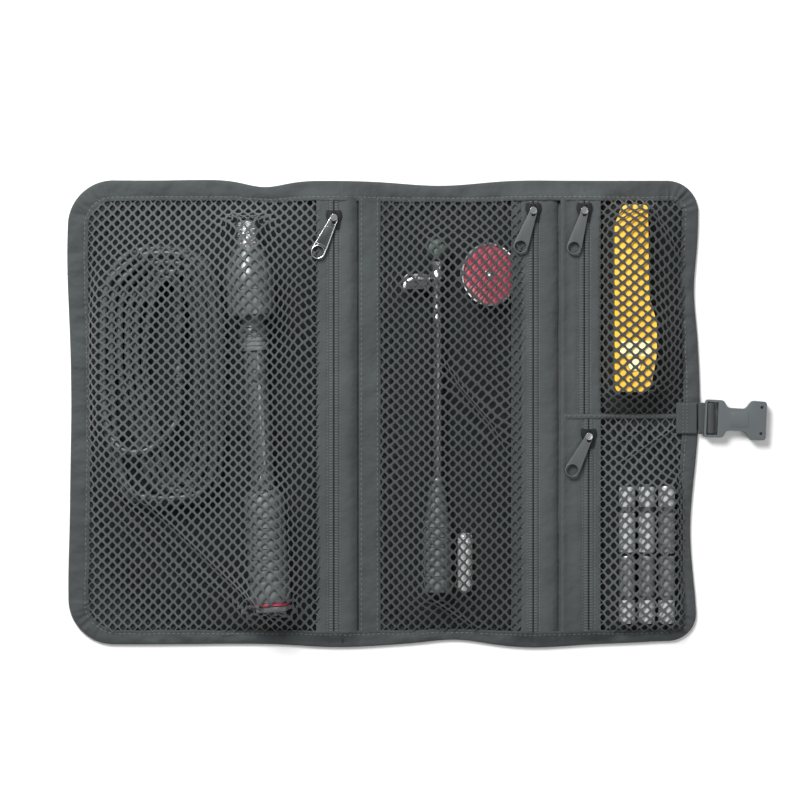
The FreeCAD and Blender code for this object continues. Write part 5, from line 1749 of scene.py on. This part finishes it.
def make_finishes(colours):
    cloth = tuple(colours.cloth)
    return {
        # The lining: the cloth darkened to 0.28 as painted shade under the nets.
        "cloth": woven("lining_cloth", scaled(cloth, 0.28), 900.0, 0.00012, crumple=0.001),
        "binding": woven("binding_tape", cloth, 1100.0, 0.00010, crumple=0.0024),
        "tape": woven("zip_cloth", scaled(cloth, 1.15), 1300.0, 0.00009, crumple=0.0018),
        "thread": woven("sewing_thread", scaled(cloth, 2.4), 2500.0, 0.00005, 0.6),
        "ribs": woven("zip_teeth", scaled(cloth, 1.7), 1500.0, 0.00004, 0.5),
        "net": knitted("net_yarn", tuple(colours.net)),
        # The same yarn darkened to 0.66 for the middle and upper nets: painted shade, not a darker yarn.
        "net_dark": knitted("net_yarn_dark", scaled(tuple(colours.net), 0.66)),
        "web": woven("strap_webbing", cloth, 1300.0, 0.00012, 0.7),
        "slider": moulded("slider_enamel", (0.004, 0.0045, 0.005), 0.55, Specular_IOR_Level=0.25),
        # Near-black cloth for the strip in the zip's centre: painted shade between the coils.
        "gap": woven("zip_gap", scaled(cloth, 0.12), 900.0, 0.00005),
        "crown": metal("crown_bright", (0.75, 0.76, 0.77), 0.16, 0.05),
        "pull": moulded("pull_enamel", (0.05, 0.056, 0.057), 0.5, Specular_IOR_Level=0.6),
        "pull_bright": metal("pull_gunmetal", (0.09, 0.098, 0.1), 0.34),
        "pull_rim": metal("pull_rim_bright", (0.8, 0.81, 0.82), 0.15, 0.05),
        "buckle": moulded("buckle_plastic", tuple(colours.buckle), 0.5),
        "cable": moulded("lead_rubber", (0.045, 0.051, 0.053), 0.42),
        "plug": moulded("plug_rubber", (0.04, 0.043, 0.044), 0.5),
        "tool": moulded("probe_plastic", (0.095, 0.106, 0.108), 0.34, Coat_Weight=0.5, Coat_Roughness=0.2),
        "gloss": moulded("barrel_plastic", (0.09, 0.1, 0.1), 0.16, 2600.0, 0.00001, Coat_Weight=1.0,
        Coat_Roughness=0.06),
        "grip": moulded("grip_rubber", (0.11, 0.12, 0.12), 0.5, 1400.0, 0.00008),
        "rubber": moulded("key_rubber", (0.03, 0.032, 0.033), 0.55),
        "chrome": metal("bright_chrome", (0.9, 0.91, 0.92), 0.24, 0.08),
        "satin": metal("satin_steel", (0.2, 0.205, 0.21), 0.3),
        "red": moulded("red_ring", (0.3, 0.015, 0.04), 0.4),
        "lens": moulded("lens_red", (0.62, 0.12, 0.17), 0.16, Coat_Weight=0.8, Coat_Roughness=0.05),
        "dome": moulded("dome_clear", (0.13, 0.17, 0.14), 0.08, Transmission_Weight=0.45, Coat_Weight=1.0,
        Coat_Roughness=0.03),
        "capsule": moulded("capsule_silver", (0.62, 0.62, 0.61), 0.28, Coat_Weight=0.5),
        "yellow": moulded("wand_yellow", tuple(colours.wand), 0.35, Coat_Weight=0.3),
        "pale_yellow": moulded("wand_label", (0.95, 0.82, 0.42), 0.4),
        "can": metal("cell_steel", (0.55, 0.55, 0.55), 0.25),
        "sleeve": moulded("sleeve_silver", (0.4, 0.41, 0.41), 0.3, Coat_Weight=0.5),
        "sleeve_dark": moulded("sleeve_dark", (0.05, 0.05, 0.055), 0.35, Coat_Weight=0.5),
        "sleeve_dim": moulded("sleeve_dim", (0.16, 0.16, 0.165), 0.3, Coat_Weight=0.5),
        "board": moulded("circuit_board", (0.02, 0.12, 0.04), 0.5),
    }


CARRIED = {
    "tail_anchor": "web", "probe_board": "board", "wand_board": "board",
}


def dress_nodes(finishes):
    """The carried-over inner parts get their finishes."""
    for name, finish in CARRIED.items():
        node = frame["nodes"][name]
        node.data.materials.clear()
        node.data.materials.append(finishes[finish])


# ---- settings, operators and panel ------------------------------------------------------------


class OrganiserSizes(bpy.types.PropertyGroup):
    hole_wide: bpy.props.FloatProperty(
        name="Hole pitch across", description="Distance between holes in one row", default=6.5 * MM,
        unit="LENGTH")
    hole_tall: bpy.props.FloatProperty(
        name="Hole pitch along", description="Distance between every other row of holes",
        default=6.52 * MM, unit="LENGTH")
    hole_open_wide: bpy.props.FloatProperty(
        name="Hole width", description="How wide one hole of the net is", default=4.15 * MM, unit="LENGTH")
    hole_open_tall: bpy.props.FloatProperty(
        name="Hole height", description="How tall one hole of the net is", default=4.9 * MM, unit="LENGTH")
    yarn: bpy.props.FloatProperty(
        name="Yarn", description="Thickness of the net", default=0.6 * MM, unit="LENGTH")
    stitch_pitch: bpy.props.FloatProperty(
        name="Stitch", description="Distance from stitch to stitch", default=3.2 * MM, unit="LENGTH")
    rib_pitch: bpy.props.FloatProperty(
        name="Zip rib", description="Distance between ribs of the zip coil", default=1.7 * MM, unit="LENGTH")
    lead_diameter: bpy.props.FloatProperty(
        name="Lead diameter", description="Thickness of the test lead", default=4.5 * MM, unit="LENGTH")
    lead_length: bpy.props.FloatProperty(
        name="Lead length", description="Length of the test lead between its plugs", default=2.33,
        unit="LENGTH")
    view_width: bpy.props.FloatProperty(
        name="View width", description="Width of floor that the camera sees", default=0.512, unit="LENGTH")


class OrganiserColours(bpy.types.PropertyGroup):
    cloth: bpy.props.FloatVectorProperty(
        name="Cloth", description="Colour of the covers, binding and tapes",
        default=(0.033, 0.0375, 0.038), subtype="COLOR")
    net: bpy.props.FloatVectorProperty(
        name="Net", description="Colour of the net's yarn", default=(0.055, 0.061, 0.062), subtype="COLOR")
    buckle: bpy.props.FloatVectorProperty(
        name="Buckle", description="Colour of the buckle", default=(0.07, 0.082, 0.085), subtype="COLOR")
    wand: bpy.props.FloatVectorProperty(
        name="Wand", description="Colour of the toner wand", default=(0.82, 0.46, 0.038), subtype="COLOR")


FINISHES = {}


class ORGANISER_OT_stage(bpy.types.Operator):
    """Set the floor, the lights and the camera"""

    bl_idname = "organiser.stage"
    bl_label = "Stage"

    def execute(self, context):
        make_stage(context.scene.organiser_sizes)
        FINISHES.update(make_finishes(context.scene.organiser_colours))
        dress_nodes(FINISHES)
        return {"FINISHED"}


class ORGANISER_OT_lead(bpy.types.Operator):
    """Coil the test lead and fit its plugs"""

    bl_idname = "organiser.lead"
    bl_label = "Test lead"

    def execute(self, context):
        make_lead(FINISHES, context.scene.organiser_sizes)
        return {"FINISHED"}


class ORGANISER_OT_covers(bpy.types.Operator):
    """Cut and lay the two cloth covers"""

    bl_idname = "organiser.covers"
    bl_label = "Covers"

    def execute(self, context):
        for left in (True, False):
            cover = make_cover(left, FINISHES)
            wide = (SPINE_MIDDLE - EDGE_LOW.x if left else EDGE_HIGH.x - SPINE_MIDDLE) * MM
            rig.sheet(cover, (wide, (EDGE_HIGH.y - EDGE_LOW.y) * MM), "laid", [], area=None)
        return {"FINISHED"}


class ORGANISER_OT_binding(bpy.types.Operator):
    """Fold the binding round the edge and sew it"""

    bl_idname = "organiser.binding"
    bl_label = "Binding"

    def execute(self, context):
        for left in (True, False):
            make_binding(left, FINISHES, context.scene.organiser_sizes)
        return {"FINISHED"}


class ORGANISER_OT_strips(bpy.types.Operator):
    """Sew the strips between the pockets"""

    bl_idname = "organiser.strips"
    bl_label = "Strips"

    def execute(self, context):
        make_strips(FINISHES, context.scene.organiser_sizes)
        return {"FINISHED"}


class ORGANISER_OT_zips(bpy.types.Operator):
    """Make the four zips with their sliders and pulls"""

    bl_idname = "organiser.zips"
    bl_label = "Zips"

    def execute(self, context):
        for name in ("left", "middle", "upper", "lower"):
            make_zip(name, FINISHES, context.scene.organiser_sizes)
            make_slider(name, FINISHES)
            make_pull(name, FINISHES)
        return {"FINISHED"}


class ORGANISER_OT_probe(bpy.types.Operator):
    """Turn the probe's parts"""

    bl_idname = "organiser.probe"
    bl_label = "Probe"

    def execute(self, context):
        make_probe(FINISHES)
        return {"FINISHED"}


class ORGANISER_OT_rod(bpy.types.Operator):
    """Make the reaching arm"""

    bl_idname = "organiser.rod"
    bl_label = "Arm"

    def execute(self, context):
        make_rod(FINISHES)
        return {"FINISHED"}


class ORGANISER_OT_lens(bpy.types.Operator):
    """Make the red lens and the capsule beside it"""

    bl_idname = "organiser.lens"
    bl_label = "Lens and capsule"

    def execute(self, context):
        make_lens(FINISHES)
        make_capsule(FINISHES)
        return {"FINISHED"}


class ORGANISER_OT_wand(bpy.types.Operator):
    """Make the toner wand"""

    bl_idname = "organiser.wand"
    bl_label = "Wand"

    def execute(self, context):
        make_wand(FINISHES)
        return {"FINISHED"}


class ORGANISER_OT_cells(bpy.types.Operator):
    """Make the six spare cells"""

    bl_idname = "organiser.cells"
    bl_label = "Cells"

    def execute(self, context):
        make_cells(FINISHES)
        return {"FINISHED"}


class ORGANISER_OT_buckle(bpy.types.Operator):
    """Make both halves of the buckle and their webbing"""

    bl_idname = "organiser.buckle"
    bl_label = "Buckle"

    def execute(self, context):
        make_buckle(FINISHES)
        make_straps(FINISHES)
        return {"FINISHED"}


class ORGANISER_OT_nets(bpy.types.Operator):
    """Drape the four nets over what they hold"""

    bl_idname = "organiser.nets"
    bl_label = "Nets"

    def execute(self, context):
        sizes = context.scene.organiser_sizes
        for net in net_list():
            made, flat = make_net(net, FINISHES, sizes)
            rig.sheet(made, flat, "stretched", net.covers, area=flat[0] * flat[1] * NET_SHARE)
            if net.name == "left":
                over_left(made, "net", "mesh_pocket_left")
            elif net.name == "middle":
                over_right(made, "net", "mesh_pocket_middle")
            else:
                settle(made, "right_half", "net", f"mesh_pocket_{net.name}")
        return {"FINISHED"}


OPERATORS = (
    ORGANISER_OT_stage, ORGANISER_OT_lead, ORGANISER_OT_covers, ORGANISER_OT_binding, ORGANISER_OT_strips,
    ORGANISER_OT_zips, ORGANISER_OT_probe, ORGANISER_OT_rod, ORGANISER_OT_lens, ORGANISER_OT_wand,
    ORGANISER_OT_cells, ORGANISER_OT_buckle, ORGANISER_OT_nets,
)


class ORGANISER_PT_panel(bpy.types.Panel):
    """The organiser's sizes, colours and making steps"""

    bl_idname = "ORGANISER_PT_panel"
    bl_label = "Mesh organiser"
    bl_space_type = "VIEW_3D"
    bl_region_type = "UI"
    bl_category = "Organiser"

    def draw(self, context):
        for group in (context.scene.organiser_sizes, context.scene.organiser_colours):
            for name in group.bl_rna.properties.keys():
                if name not in ("rna_type", "name"):
                    self.layout.prop(group, name)
        for operator in OPERATORS:
            self.layout.operator(operator.bl_idname)


CLASSES = (OrganiserSizes, OrganiserColours, *OPERATORS, ORGANISER_PT_panel)


def register():
    for item in CLASSES:
        bpy.utils.register_class(item)
    bpy.types.Scene.organiser_sizes = bpy.props.PointerProperty(type=OrganiserSizes)
    bpy.types.Scene.organiser_colours = bpy.props.PointerProperty(type=OrganiserColours)


def unregister():
    del bpy.types.Scene.organiser_colours
    del bpy.types.Scene.organiser_sizes
    for item in reversed(CLASSES):
        bpy.utils.unregister_class(item)


def main():
    register()
    for operator in OPERATORS:
        group, name = operator.bl_idname.split(".")
        getattr(getattr(bpy.ops, group), name)()
    with open("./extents.json", "w") as out:
        boxes = {"cad": CAD_BOX, "visual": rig.bounds()}
        json.dump({name: [[float(c) for c in corner] for corner in box] for name, box in boxes.items()}, out)


if __name__ == "__main__":
    main()
